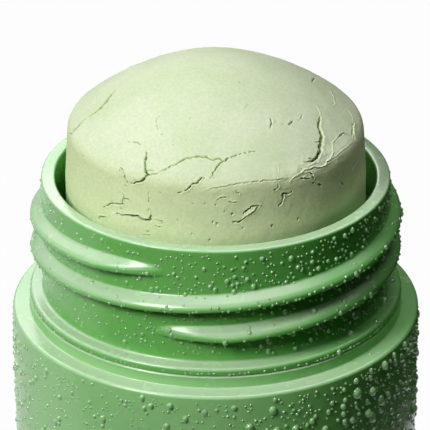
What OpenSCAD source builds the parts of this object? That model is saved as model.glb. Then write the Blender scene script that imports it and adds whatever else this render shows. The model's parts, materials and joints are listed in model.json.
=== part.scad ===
// Twist-up clay stick: a domed plug of cracked green clay stands out of the threaded neck of a round
// plastic container. Turning the dial at the base turns a lead screw, and the screw lifts the carrier
// that the clay stands on. Millimetres, +Z up, origin at the centre of the dial's underside.
// The front of the stick faces -Y.

/* [Body] */
// Outer diameter of the body and of the dial
body_d = 40; // [38:0.5:46]
// Thickness of the body wall and of the shoulder plate
body_wall = 1.6; // [1:0.1:2]
// Height of the flat shoulder above the base
shoulder_z = 52.3; // [48:0.1:60]
// Rounding of the shoulder's outer edge
shoulder_round = 0.5; // [0.2:0.1:0.8]
// Height of the raised ring that the neck's collar sits on
upstand_h = 1.2; // [0.8:0.1:2]

// Width of the flat shoulder round the raised ring
shoulder_w = 1.8; // [1.4:0.1:3]

// Bevel of the two edges that meet at the seam under the collar
seam_bevel = 0.12; // [0.05:0.01:0.2]

/* [Neck] */
// Thickness of the neck and of the inner tube below it
neck_wall = 1.35; // [1:0.05:1.6]
// Height of the neck from the collar to the rim
neck_h = 11.7; // [11:0.1:14]
// Rounding of the rim's two edges
rim_round = 0.25; // [0.1:0.05:0.4]
// How far the collar stands out of the neck
collar_reach = 1.3; // [1:0.1:1.6]
// Height of the collar
collar_h = 0.8; // [0.6:0.1:1.4]
// Rounding of the collar's upper edge
collar_round = 0.35; // [0.1:0.05:0.45]

/* [Cap thread] */
// Number of ridges that start side by side
thread_starts = 2; // [1:1:3]
// Rise of one ridge in a full turn
thread_lead = 6.6; // [5:0.1:7]
// Length of each ridge in turns
thread_turns = 1; // [0.6:0.05:1.05]
// How far a ridge stands out of the neck
thread_reach = 1.15; // [0.8:0.05:1.3]
// Width of a ridge where it leaves the neck
thread_w = 1.8; // [1.2:0.1:2.2]
// Height above the collar at which a ridge begins
thread_from = 2.7; // [2.4:0.05:3.2]
// Azimuth at which the first ridge begins
thread_azimuth = -107; // [-180:1:180]
// Angle over which a ridge fades in and out
thread_fade = 20; // [10:1:40]

/* [Clay] */
// Gap between the clay and the neck's bore
clay_gap = 1; // [0.9:0.05:1.6]
// Height of the edge of the dome above the rim
clay_stand = 5.5; // [3:0.1:8]
// How much narrower the clay is, on the radius, at the edge of its dome
clay_taper = 0.3; // [0:0.05:0.6]
// Height of the dome
dome_h = 6.2; // [4:0.1:8]
// Width of the rounded edge between the dome and the side
dome_edge = 1; // [0.5:0.1:2]
// Gap between the clay and the lead screw
clay_bore_gap = 1.1; // [0.8:0.1:2]

/* [Lead screw] */
// Diameter of the screw's core
screw_d = 5.2; // [5.2:0.1:6]
// How far the screw's ridge stands out of its core
screw_reach = 0.9; // [0.7:0.05:1.1]
// Rise of the screw's ridge in a full turn
screw_pitch = 4; // [3.6:0.1:5]
// Width of the ridge where it leaves the core
screw_w = 2; // [1.8:0.1:2.1]
// Depth of the screw's tip below the rim
screw_sunk = 7.5; // [6:0.1:9]
// Thickness of the thrust flange
flange_t = 1.2; // [0.8:0.1:2]
// Diameter of the thrust flange
flange_d = 12; // [9:0.5:16]
// Diameter of the journal that turns in the tube's floor
journal_d = 6; // [6:0.1:7]
// Width of the six-sided foot across its corners
foot_d = 5.8; // [5:0.1:5.9]

/* [Carrier] */
// Height of the carrier's skirt
carrier_h = 7; // [6:0.5:9]
// Thickness of the carrier's walls and platform
carrier_wall = 1.4; // [1.2:0.1:2]
// Height that the nut stands above the platform
nut_rise = 3; // [2:0.5:5]
// Thickness of the nut's wall
nut_wall = 2.1; // [1.5:0.1:3]
// Number of ribs that keep the carrier from turning
rib_count = 3; // [2:1:6]
// Width of a rib
rib_w = 2; // [1.5:0.1:3]
// How far a rib stands into the bore
rib_reach = 0.5; // [0.4:0.05:0.6]
// Depth of the ribs' upper ends below the rim
rib_sunk = 5; // [4:0.1:7]

/* [Dial] */
// Height of the dial's outer wall
dial_h = 12.6; // [11:0.1:16]
// Thickness of the dial's wall and plate
dial_wall = 2; // [1.6:0.1:2.5]
// Height of the hollow under the dial's plate
dial_hollow = 0.8; // [0.4:0.1:1.5]
// Width of the ring that the stick stands on
foot_ring_w = 4; // [3:0.1:6]
// Number of grip flutes round the dial
flute_count = 40; // [24:4:48]
// Diameter of a grip flute
flute_d = 1.8; // [1.2:0.1:2]
// Depth of a grip flute
flute_depth = 0.45; // [0.3:0.05:0.6]
// Thickness of the floor of the inner tube
floor_t = 2; // [1.5:0.1:3]

/* [Fits] */
// Gap that shows between the dial and the body
dial_gap = 0.4; // [0.3:0.05:0.8]
// Gap between turning faces inside the stick
turning_gap = 0.3; // [0.2:0.05:0.5]
// Radial clearance of the journal in its hole
journal_clearance = 0.08; // [0.04:0.01:0.1]
// Clearance round the pieces that are pushed together
seat_clearance = 0.1; // [0.05:0.01:0.15]
// Clearance of the carrier in the bore
carrier_clearance = 0.1; // [0.06:0.01:0.2]
// Clearance on each side of a rib, and over it
rib_clearance = 0.25; // [0.2:0.05:0.4]
// Clearance between the screw's ridge and the nut's
nut_clearance = 0.25; // [0.2:0.05:0.35]

/* [Hidden] */

// Fineness of round surfaces, and of the curves in a turned outline
round_fn = 96;
arc_steps = 6;
dome_steps = 16;
// Rings in one turn of a ridge that shows, and of one that is inside
shown_rings = 72;
inner_rings = 24;
// Depth to which a ridge's root is buried in the wall that it stands on
ridge_sink = 0.3;
// Share of its height that a ridge keeps at its very end, which lies inside the wall
ridge_end = 0.12;
// Short length by which a cut runs past a face, or a rib runs into a wall
overrun = 0.5;

body_r = body_d / 2;
shell_bore_r = body_r - body_wall;
upstand_r = body_r - shoulder_w;
// The raised ring is a hair wider than the collar, which shows as a fine seam line
collar_r = upstand_r - seat_clearance / 2;
neck_r = collar_r - collar_reach;
bore_r = neck_r - neck_wall;

shell_z = dial_h + dial_gap;
spigot_h = dial_gap + 0.7;
floor_z = dial_h + spigot_h + turning_gap;
floor_top = floor_z + floor_t;
seam_z = shoulder_z + upstand_h;
collar_top = seam_z + collar_h;
rim_z = collar_top + neck_h;

flange_z = floor_top + turning_gap / 2;
flange_top = flange_z + flange_t;
screw_r = screw_d / 2;
screw_crest_r = screw_r + screw_reach;
screw_tip = rim_z - screw_sunk;
screw_crest_w = screw_w - 0.8;
screw_run_in = 1.2;
// Height of the screw ridge's lower end, which lies at the azimuth 0
screw_ridge_z = flange_top + screw_w / 2 + screw_run_in;
screw_ridge_h = screw_tip - screw_w / 2 - screw_run_in - screw_ridge_z;

nut_bore_r = screw_crest_r + nut_clearance;
nut_r = nut_bore_r + nut_wall;
nut_crest_r = screw_r + nut_clearance;
nut_ridge_w = screw_pitch - screw_crest_w - 2 * nut_clearance - 0.2;
nut_ridge_crest_w = screw_pitch - screw_w - 2 * nut_clearance - 0.2;

// The clay stands raised: fully lowered, the top of its dome is just inside the rim
lowered_sunk = 0.3;
raised = clay_stand + dome_h + lowered_sunk;
carrier_z = flange_top + turning_gap + raised;
platform_top = carrier_z + carrier_h;
carrier_r = bore_r - carrier_clearance;
notch_r = bore_r - rib_reach - rib_clearance;

clay_r = bore_r - clay_gap;
clay_edge_r = clay_r - clay_taper;
clay_edge_z = rim_z + clay_stand;
clay_bore_r = screw_crest_r + clay_bore_gap;
clay_bore_top = screw_tip + raised + clay_bore_gap / 2;
// Exponent of the dome's outline: 2 is a parabola, and less is more pointed
dome_power = 1.9;

plate_top = dial_hollow + dial_wall;
boss_top = dial_h + spigot_h;
boss_r = foot_d / 2 + seat_clearance + dial_wall;
spigot_r = shell_bore_r - turning_gap;
spigot_w = 1.6;
dial_bevel = 0.8;
flute_margin = 1.6;

plastic_green = "#76A968";
inner_green = "#8DB883";
clay_green = "#CBDDB2";
screw_white = "#E4E8DC";

// Points of an arc round a centre, from one angle to another
function arc(centre, r, from, to) =
    [for (i = [0 : arc_steps])
        let (a = from + (to - from) * i / arc_steps)
        [centre[0] + r * cos(a), centre[1] + r * sin(a)]];

// Outline of a ridge with a rounded crest: distance out of its root, and height
function round_ridge(reach, w) =
    [for (a = [-90, -68, -48, -28, -9, 9, 28, 48, 68, 90])
        [reach * pow(max(cos(a), 0), 0.7), w / 2 * sin(a)]];

// Outline of a ridge with straight flanks and a flat crest
function flat_ridge(reach, w, crest_w) =
    [[0, -w / 2], [reach, -crest_w / 2], [reach, crest_w / 2], [0, w / 2]];

// A ridge wound round the Z axis. Its outline is swept from the angle `from` over `turns`, rises by
// `lead` in each turn, and fades to `ridge_end` of its reach over `fade` degrees at both ends.
// `side` is 1 for a ridge that stands outwards from `root_r`, and -1 for one that stands inwards.
module wound_ridge(outline, root_r, from, z, lead, turns, fade, rings, side = 1) {
    count = ceil(rings * turns);
    span = 360 * turns;
    sides = len(outline);
    function share(i) =
        let (to_end = min(i, count - i) * span / count)
        ridge_end + (1 - ridge_end) * sin(90 * min(1, to_end / fade));
    function ring(i) =
        let (a = from + span * i / count, rise = lead * turns * i / count)
        [for (p = outline)
            let (r = root_r + side * p[0] * share(i))
            [r * cos(a), r * sin(a), z + rise + side * p[1]]];
    points = [for (i = [0 : count]) each ring(i)];
    walls = [for (i = [0 : count - 1], j = [0 : sides - 1])
        let (k = (j + 1) % sides, near = i * sides, far = near + sides)
        each [[near + j, far + k, far + j], [near + j, near + k, far + k]]];
    first_end = [for (j = [sides - 1 : -1 : 0]) j];
    last_end = [for (j = [0 : sides - 1]) count * sides + j];
    polyhedron(points, concat(walls, [first_end], [last_end]), convexity = 10);
}

module turned(outline) {
    rotate_extrude($fn = round_fn)
        polygon(outline);
}

// Body wall, shoulder and the raised ring that carries the collar
module outer_shell() {
    lead_in = 0.4;
    ring_bore_r = neck_r + seat_clearance;
    outline = concat(
        [[shell_bore_r + lead_in, shell_z], [body_r - lead_in, shell_z], [body_r, shell_z + lead_in]],
        arc([body_r - shoulder_round, shoulder_z - shoulder_round], shoulder_round, 0, 90),
        [[upstand_r, shoulder_z], [upstand_r, seam_z - seam_bevel], [upstand_r - seam_bevel, seam_z]],
        [[ring_bore_r, seam_z]],
        [[ring_bore_r, shoulder_z - body_wall], [shell_bore_r, shoulder_z - body_wall]],
        [[shell_bore_r, shell_z + lead_in]]
    );
    color(plastic_green)
        turned(outline);
}

// Threaded neck, collar, tube and floor, in one moulding, with ribs along its bore
module inner_tube() {
    base_flange_t = 1.4;
    base_flange_r = shell_bore_r - seat_clearance;
    hole_r = journal_d / 2 + journal_clearance;
    outline = concat(
        [[hole_r, floor_z], [base_flange_r, floor_z], [base_flange_r, floor_z + base_flange_t]],
        [[neck_r, floor_z + base_flange_t], [neck_r, seam_z]],
        [[collar_r - seam_bevel, seam_z], [collar_r, seam_z + seam_bevel]],
        arc([collar_r - collar_round, collar_top - collar_round], collar_round, 0, 90),
        [[neck_r, collar_top]],
        arc([neck_r - rim_round, rim_z - rim_round], rim_round, 0, 90),
        arc([bore_r + rim_round, rim_z - rim_round], rim_round, 90, 180),
        [[bore_r, floor_top], [hole_r, floor_top]]
    );
    color(plastic_green)
        union() {
            turned(outline);
            for (start = [0 : thread_starts - 1])
                wound_ridge(
                    round_ridge(thread_reach + ridge_sink, thread_w), neck_r - ridge_sink,
                    thread_azimuth + 360 * start / thread_starts, collar_top + thread_from,
                    thread_lead, thread_turns, thread_fade, shown_rings
                );
            for (rib = [0 : rib_count - 1])
                rotate([0, 0, 90 + 360 * rib / rib_count])
                    translate([bore_r - rib_reach, -rib_w / 2, floor_top - overrun])
                        cube([rib_reach + overrun, rib_w, rim_z - rib_sunk - floor_top + overrun]);
        }
}

// Twist knob: fluted wall, plate with a foot ring, spigot and socket boss
module base_dial() {
    ring_inner_r = body_r - foot_ring_w;
    inner_r = body_r - dial_wall;
    socket_r = foot_d / 2 + seat_clearance;
    outline = concat(
        [[0, dial_hollow], [ring_inner_r - dial_hollow, dial_hollow], [ring_inner_r, 0]],
        [[body_r - dial_bevel, 0], [body_r, dial_bevel], [body_r, dial_h - dial_bevel / 2]],
        [[body_r - dial_bevel / 2, dial_h], [spigot_r, dial_h], [spigot_r, boss_top]],
        [[spigot_r - spigot_w, boss_top], [spigot_r - spigot_w, dial_h - dial_wall]],
        [[inner_r, dial_h - 2 * dial_wall], [inner_r, plate_top], [boss_r, plate_top]],
        [[boss_r, boss_top], [0, boss_top]]
    );
    flute_h = dial_h - 2 * flute_margin;
    color(plastic_green)
        difference() {
            turned(outline);
            translate([0, 0, plate_top])
                cylinder(h = boss_top, r = socket_r, $fn = 6);
            for (flute = [0 : flute_count - 1])
                rotate([0, 0, 360 * (flute + 0.5) / flute_count])
                    translate([body_r + flute_d / 2 - flute_depth, 0, flute_margin])
                        cylinder(h = flute_h, d = flute_d, $fn = round_fn);
        }
}

// Lead screw with a left-hand ridge, thrust flange, journal and six-sided foot
module lead_screw() {
    tip_bevel = 0.6;
    outline = [
        [0, boss_top], [journal_d / 2, boss_top], [journal_d / 2, flange_z], [flange_d / 2, flange_z],
        [flange_d / 2, flange_top], [screw_r, flange_top], [screw_r, screw_tip - tip_bevel],
        [screw_r - tip_bevel, screw_tip], [0, screw_tip]
    ];
    ridge_turns = screw_ridge_h / screw_pitch;
    color(screw_white)
        union() {
            turned(outline);
            translate([0, 0, plate_top])
                cylinder(h = boss_top - plate_top + overrun, d = foot_d, $fn = 6);
            wound_ridge(
                flat_ridge(screw_reach + ridge_sink, screw_w, screw_crest_w), screw_r - ridge_sink,
                -360 * ridge_turns, screw_ridge_z + screw_ridge_h, -screw_pitch, ridge_turns,
                thread_fade, inner_rings
            );
        }
}

// Platform with a skirt, notches for the ribs, and the nut that rides on the lead screw
module carrier() {
    skirt_r = carrier_r - carrier_wall;
    nut_top = platform_top + nut_rise;
    outline = [
        [nut_bore_r, carrier_z], [nut_r, carrier_z], [nut_r, platform_top - carrier_wall],
        [skirt_r, platform_top - carrier_wall], [skirt_r, carrier_z], [carrier_r, carrier_z],
        [carrier_r, platform_top], [nut_r, platform_top], [nut_r, nut_top], [nut_bore_r, nut_top]
    ];
    // The nut's ridge is centred in the nut, and turned so that it lies midway between the screw's
    ridge_margin = 0.35;
    ridge_h = carrier_h + nut_rise - nut_ridge_w - 2 * ridge_margin;
    ridge_top = nut_top - ridge_margin - nut_ridge_w / 2;
    ridge_from = 360 * ((screw_ridge_z - ridge_top) / screw_pitch + 0.5);
    color(inner_green)
        difference() {
            union() {
                turned(outline);
                wound_ridge(
                    flat_ridge(nut_bore_r - nut_crest_r + ridge_sink, nut_ridge_w, nut_ridge_crest_w),
                    nut_bore_r + ridge_sink, ridge_from, ridge_top, -screw_pitch,
                    ridge_h / screw_pitch, thread_fade, inner_rings, side = -1
                );
            }
            for (rib = [0 : rib_count - 1])
                rotate([0, 0, 90 + 360 * rib / rib_count])
                    translate([notch_r, -rib_w / 2 - rib_clearance, carrier_z - overrun])
                        cube([bore_r, rib_w + 2 * rib_clearance, carrier_h + 2 * overrun]);
        }
}

// Moulded plug of dry clay with a domed top, cast round the nut and the screw
module clay_stick() {
    nut_pocket_r = nut_r + seat_clearance;
    nut_pocket_top = platform_top + nut_rise + seat_clearance;
    dome_r = clay_edge_r - dome_edge;
    edge_drop = dome_edge * 0.6;
    function dome_z(r) = clay_edge_z + dome_h * (1 - pow(r / clay_edge_r, dome_power));
    dome = [for (i = [dome_steps : -1 : 0])
        let (r = dome_r * i / dome_steps)
        [r, dome_z(r)]];
    outline = concat(
        [[nut_pocket_r, platform_top], [clay_r, platform_top], [clay_r, rim_z]],
        [[clay_edge_r, clay_edge_z - edge_drop], [clay_edge_r - dome_edge * 0.25, clay_edge_z]],
        dome,
        [[0, clay_bore_top], [clay_bore_r, clay_bore_top], [clay_bore_r, nut_pocket_top]],
        [[nut_pocket_r, nut_pocket_top]]
    );
    color(clay_green)
        turned(outline);
}

outer_shell();
inner_tube();
base_dial();
lead_screw();
carrier();
clay_stick();
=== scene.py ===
"""Twist-up clay stick: its looks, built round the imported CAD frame.

Every piece is in metres in the frame's axes: +Z runs up the stick and -Y is its front. Sizes are written in
millimetres and are scaled once, as each mesh is made.
"""

from __future__ import annotations

import json
import logging
import math
import random
from dataclasses import dataclass
from enum import Enum
from typing import Callable, Iterable, Sequence

import bpy
import numpy as np
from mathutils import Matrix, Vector, noise
from mathutils.bvhtree import BVHTree

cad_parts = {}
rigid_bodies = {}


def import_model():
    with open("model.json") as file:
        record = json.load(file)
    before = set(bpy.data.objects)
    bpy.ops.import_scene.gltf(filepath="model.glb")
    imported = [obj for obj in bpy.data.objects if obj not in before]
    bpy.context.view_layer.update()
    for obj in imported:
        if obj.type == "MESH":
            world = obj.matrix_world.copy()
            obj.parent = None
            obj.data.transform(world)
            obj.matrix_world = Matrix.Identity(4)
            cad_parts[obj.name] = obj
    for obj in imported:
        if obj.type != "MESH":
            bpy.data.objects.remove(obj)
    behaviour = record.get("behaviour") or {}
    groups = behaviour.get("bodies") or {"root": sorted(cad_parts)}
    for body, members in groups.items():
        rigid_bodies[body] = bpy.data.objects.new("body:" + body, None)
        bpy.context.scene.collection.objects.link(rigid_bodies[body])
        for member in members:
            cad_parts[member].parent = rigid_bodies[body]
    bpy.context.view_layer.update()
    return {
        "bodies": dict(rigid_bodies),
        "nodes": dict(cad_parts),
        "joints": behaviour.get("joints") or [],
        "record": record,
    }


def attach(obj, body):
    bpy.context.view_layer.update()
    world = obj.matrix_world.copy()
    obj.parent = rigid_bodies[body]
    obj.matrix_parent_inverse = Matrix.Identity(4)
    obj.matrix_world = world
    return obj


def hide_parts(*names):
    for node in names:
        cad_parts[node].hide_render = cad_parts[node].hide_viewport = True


LOG = logging.getLogger("clay_stick")

MM = 0.001
NOISE_WIDE = (0.3, 0.7)
NOISE_MIDDLE = (0.35, 0.65)

Point2 = tuple[float, float]
Outline = list[Point2]


class Body(Enum):
    """The bodies of the frame that pieces ride on."""

    CONTAINER = "container"
    DIAL = "dial"
    STICK = "stick"


class Slot(Enum):
    """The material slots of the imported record."""

    BODY = "body_plastic"
    NECK = "neck_plastic"
    DIAL = "dial_plastic"
    CLAY = "green_clay"
    WATER = "water"


# Colour and nodes


def linear(hex_colour: str) -> tuple[float, float, float, float]:
    """Turns an sRGB hex colour into the linear colour that a shader takes.

    Args:
        hex_colour: The colour, such as "#8FC47E".

    Returns:
        Linear red, green, blue and an alpha of 1.
    """
    digits = hex_colour.lstrip("#")
    channels = [int(digits[i : i + 2], 16) / 255 for i in (0, 2, 4)]
    straight = [c / 12.92 if c <= 0.04045 else ((c + 0.055) / 1.055) ** 2.4 for c in channels]
    return (straight[0], straight[1], straight[2], 1.0)


def add_node(
    tree: bpy.types.NodeTree,
    kind: str,
    settings: dict[str, object] | None = None,
    inputs: dict[str | int, object] | None = None,
) -> bpy.types.Node:
    """Adds a node, sets it and links it.

    Args:
        tree: The node tree that takes the node.
        kind: Blender's name for the kind of node.
        settings: Values of the node's own properties.
        inputs: Input sockets by name or index, each with a value or with the output socket that feeds it.

    Returns:
        The new node.
    """
    node = tree.nodes.new(kind)
    for name, value in (settings or {}).items():
        setattr(node, name, value)
    for key, value in (inputs or {}).items():
        socket = node.inputs[key]
        if isinstance(value, bpy.types.NodeSocket):
            tree.links.new(value, socket)
        else:
            socket.default_value = value
    return node


def new_material(name: str) -> tuple[bpy.types.Material, bpy.types.NodeTree]:
    """Makes an empty node material.

    Args:
        name: What the material is.

    Returns:
        The material and its node tree.
    """
    material = bpy.data.materials.new(name)
    material.use_nodes = True
    material.node_tree.nodes.clear()
    return material, material.node_tree


def grain(
    tree: bpy.types.NodeTree, where: bpy.types.NodeSocket, size_mm: float, detail: float = 2.0
) -> bpy.types.NodeSocket:
    """Adds noise whose patches are about as large as a size on the object.

    Args:
        tree: The material's node tree.
        where: Object coordinates, in metres.
        size_mm: Width of one patch.
        detail: How many finer layers are added.

    Returns:
        The noise, around 0.5.
    """
    inputs = {"Vector": where, "Scale": 1 / (size_mm * MM), "Detail": detail}
    return add_node(tree, "ShaderNodeTexNoise", None, inputs).outputs["Fac"]


def spread(
    tree: bpy.types.NodeTree, value: bpy.types.NodeSocket, source: Point2, target: Point2
) -> bpy.types.NodeSocket:
    """Adds a node that maps a range of values to another range.

    Args:
        tree: The material's node tree.
        value: The value to map.
        source: Lowest and highest value that come in.
        target: What those two become.

    Returns:
        The mapped value.
    """
    names = ("From Min", "From Max", "To Min", "To Max")
    limits = dict(zip(names, (*source, *target)))
    return add_node(tree, "ShaderNodeMapRange", None, {"Value": value, **limits}).outputs["Result"]


def combine(
    tree: bpy.types.NodeTree, operation: str, first: object, second: object
) -> bpy.types.NodeSocket:
    """Adds a node that calculates with two values.

    Args:
        tree: The material's or the world's node tree.
        operation: Blender's name for the calculation.
        first: A value or a value's socket.
        second: A value or a value's socket.

    Returns:
        The result.
    """
    return add_node(tree, "ShaderNodeMath", {"operation": operation}, {0: first, 1: second}).outputs[0]


def add_bump(
    tree: bpy.types.NodeTree,
    height: bpy.types.NodeSocket,
    depth_mm: float,
    strength: float,
    below: bpy.types.NodeSocket | None = None,
) -> bpy.types.NodeSocket:
    """Adds a fine relief.

    Args:
        tree: The material's node tree.
        height: The relief, from 0 to 1.
        depth_mm: How deep it is.
        strength: How much of it shows.
        below: A coarser relief that it lies on.

    Returns:
        The surface's direction.
    """
    inputs = {"Strength": strength, "Distance": depth_mm * MM, "Height": height}
    if below is not None:
        inputs["Normal"] = below
    return add_node(tree, "ShaderNodeBump", None, inputs).outputs["Normal"]


def show(tree: bpy.types.NodeTree, shader: bpy.types.NodeSocket) -> None:
    """Makes a shader the surface of its material.

    Args:
        tree: The material's node tree.
        shader: The shader.
    """
    add_node(tree, "ShaderNodeOutputMaterial", None, {"Surface": shader})


def blend_colours(
    tree: bpy.types.NodeTree, share: object, first: object, second: object, kind: str = "MIX"
) -> bpy.types.NodeSocket:
    """Adds a node that mixes two colours.

    Args:
        tree: The material's node tree.
        share: How much of the second colour shows.
        first: A colour or a colour's socket.
        second: A colour or a colour's socket.
        kind: Blender's name for the way of mixing.

    Returns:
        The mixed colour.
    """
    settings = {"data_type": "RGBA", "blend_type": kind}
    return add_node(tree, "ShaderNodeMix", settings, {0: share, 6: first, 7: second}).outputs[2]


@dataclass(frozen=True)
class MouldedPolypropylene:
    """Injection-moulded polypropylene with a satin mould finish.

    It is slightly milky: light seeps into it, so its edges and thin walls glow a little, and its highlights
    are soft. Flow in the mould leaves very faint clouds of deeper colour. Faces that look up are painted
    paler, as a painted sheen, most at the front and on the right of the rim. Faces that look away from the
    front left, where the key lamp stands, are painted deeper in colour, as painted shade.
    """

    name: str
    colour: str
    # the deeper colour: random mould clouds, and painted shade on faces that look away from the key lamp
    cloud_and_shade_colour: str
    # painted sheen: the paler colour painted on faces that look up
    sheen_colour: str = "#B1CFA8"
    roughness: float = 0.24
    smoothest: float = 0.04
    roughest: float = 0.05
    seep: float = 0.4
    seep_depth_mm: float = 0.7
    seep_by_colour: tuple[float, float, float] = (0.3, 1.0, 0.2)
    cloud_mm: float = 9.0
    peel_mm: float = 0.9
    peel_depth_mm: float = 0.002
    cloud_share: float = 0.12
    # painted shade: faces turned away from this azimuth, the key lamp's side, get the deeper colour
    lamp_azimuth: float = -120.0
    shade_reach: Point2 = (0.2, 0.9)
    # painted sheen: how far faces must look up, where round the piece it is strongest, and the rim's right
    # side above a height
    sheen_upward_reach: Point2 = (0.15, 0.8)
    sheen_azimuth: float = -105.0
    sheen_reach: Point2 = (0.1, 0.8)
    least_sheen: float = 0.3
    sheen_rim_above_mm: float = 100.0
    rim_azimuth: float = -50.0
    rim_reach: Point2 = (-0.1, 0.4)

    @staticmethod
    def towards(
        tree: bpy.types.NodeTree, way: bpy.types.NodeSocket, azimuth: float
    ) -> bpy.types.NodeSocket:
        """Adds a node that tells how far a direction points towards an azimuth.

        Args:
            tree: The material's node tree.
            way: The direction.
            azimuth: The azimuth, in degrees.

        Returns:
            1 straight towards it, 0 across it and -1 away from it.
        """
        turn = math.radians(azimuth)
        aim = (math.cos(turn), math.sin(turn), 0.0)
        dot = add_node(tree, "ShaderNodeVectorMath", {"operation": "DOT_PRODUCT"}, {0: way, 1: aim})
        return dot.outputs["Value"]

    def painted_sheen(
        self, tree: bpy.types.NodeTree, where: bpy.types.NodeSocket, facing: bpy.types.NodeSocket
    ) -> bpy.types.NodeSocket:
        """Adds nodes that tell how much painted sheen, a paler colour on faces that look up, lies on the
        plastic.

        Args:
            tree: The material's node tree.
            where: Object coordinates, in metres.
            facing: The surface's direction.

        Returns:
            A share from 0 to 1.
        """
        # painted sheen: a paler colour on faces that look up, most at the front and on the rim's right
        upward = add_node(tree, "ShaderNodeSeparateXYZ", None, {"Vector": facing}).outputs["Z"]
        looks_up = spread(tree, upward, self.sheen_upward_reach, (0.0, 1.0))
        level = (1.0, 1.0, 0.0)
        flat = add_node(tree, "ShaderNodeVectorMath", {"operation": "MULTIPLY"}, {0: where, 1: level})
        unit = add_node(tree, "ShaderNodeVectorMath", {"operation": "NORMALIZE"}, {0: flat.outputs[0]})
        heading = unit.outputs[0]
        ahead = self.towards(tree, heading, self.sheen_azimuth)
        near_front = spread(tree, ahead, self.sheen_reach, (self.least_sheen, 1.0))
        height = add_node(tree, "ShaderNodeSeparateXYZ", None, {"Vector": where}).outputs["Z"]
        rim = (self.sheen_rim_above_mm * MM, (self.sheen_rim_above_mm + 0.3) * MM)
        on_rim = spread(tree, height, rim, (0.0, 1.0))
        on_right = spread(tree, self.towards(tree, heading, self.rim_azimuth), self.rim_reach, (0.0, 1.0))
        near_rim = combine(tree, "MULTIPLY", on_rim, on_right)
        return combine(tree, "MULTIPLY", looks_up, combine(tree, "MAXIMUM", near_front, near_rim))

    def build(self) -> bpy.types.Material:
        """Makes the material."""
        material, tree = new_material(self.name)
        where = add_node(tree, "ShaderNodeTexCoord").outputs["Object"]
        facing = add_node(tree, "ShaderNodeNewGeometry").outputs["Normal"]
        clouds = spread(tree, grain(tree, where, self.cloud_mm), NOISE_MIDDLE, (0.0, self.cloud_share))
        # painted shade: the deeper colour grows on faces that look away from the key lamp, added to the
        # random clouds
        towards_lamp = self.towards(tree, facing, self.lamp_azimuth)
        cloud_and_shade = combine(tree, "ADD", clouds, spread(tree, towards_lamp, self.shade_reach, (1.0, 0.0)))
        before_sheen = blend_colours(tree, cloud_and_shade, linear(self.colour), linear(self.cloud_and_shade_colour))
        # painted sheen laid over the colour
        painted_sheen = self.painted_sheen(tree, where, facing)
        colour = blend_colours(tree, painted_sheen, before_sheen, linear(self.sheen_colour))
        play = (self.roughness - self.smoothest, self.roughness + self.roughest)
        satin = spread(tree, grain(tree, where, self.peel_mm * 2), NOISE_WIDE, play)
        bump = add_bump(tree, grain(tree, where, self.peel_mm), self.peel_depth_mm, 0.6)
        plastic = add_node(
            tree,
            "ShaderNodeBsdfPrincipled",
            {"subsurface_method": "RANDOM_WALK"},
            {
                "Base Color": colour,
                "Roughness": satin,
                "IOR": 1.49,
                "Specular IOR Level": 0.5,
                "Subsurface Weight": self.seep,
                "Subsurface Scale": self.seep_depth_mm * MM,
                "Subsurface Radius": self.seep_by_colour,
                "Normal": bump,
            },
        )
        show(tree, plastic.outputs["BSDF"])
        return material


@dataclass(frozen=True)
class NaturalPolyacetal:
    """Moulded polyacetal without pigment, as lead screws are made of: milky white, hard, slightly waxy."""

    name: str = "natural_polyacetal"
    colour: str = "#E3E7DA"
    shade: str = "#D3D8C8"

    def build(self) -> bpy.types.Material:
        """Makes the material."""
        material, tree = new_material(self.name)
        where = add_node(tree, "ShaderNodeTexCoord").outputs["Object"]
        clouds = grain(tree, where, 3.0)
        bump = add_bump(tree, grain(tree, where, 0.5), 0.01, 0.4)
        plastic = add_node(
            tree,
            "ShaderNodeBsdfPrincipled",
            None,
            {
                "Base Color": blend_colours(tree, clouds, linear(self.colour), linear(self.shade)),
                "Roughness": spread(tree, clouds, NOISE_WIDE, (0.38, 0.46)),
                "IOR": 1.48,
                "Normal": bump,
            },
        )
        show(tree, plastic.outputs["BSDF"])
        return material


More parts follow.
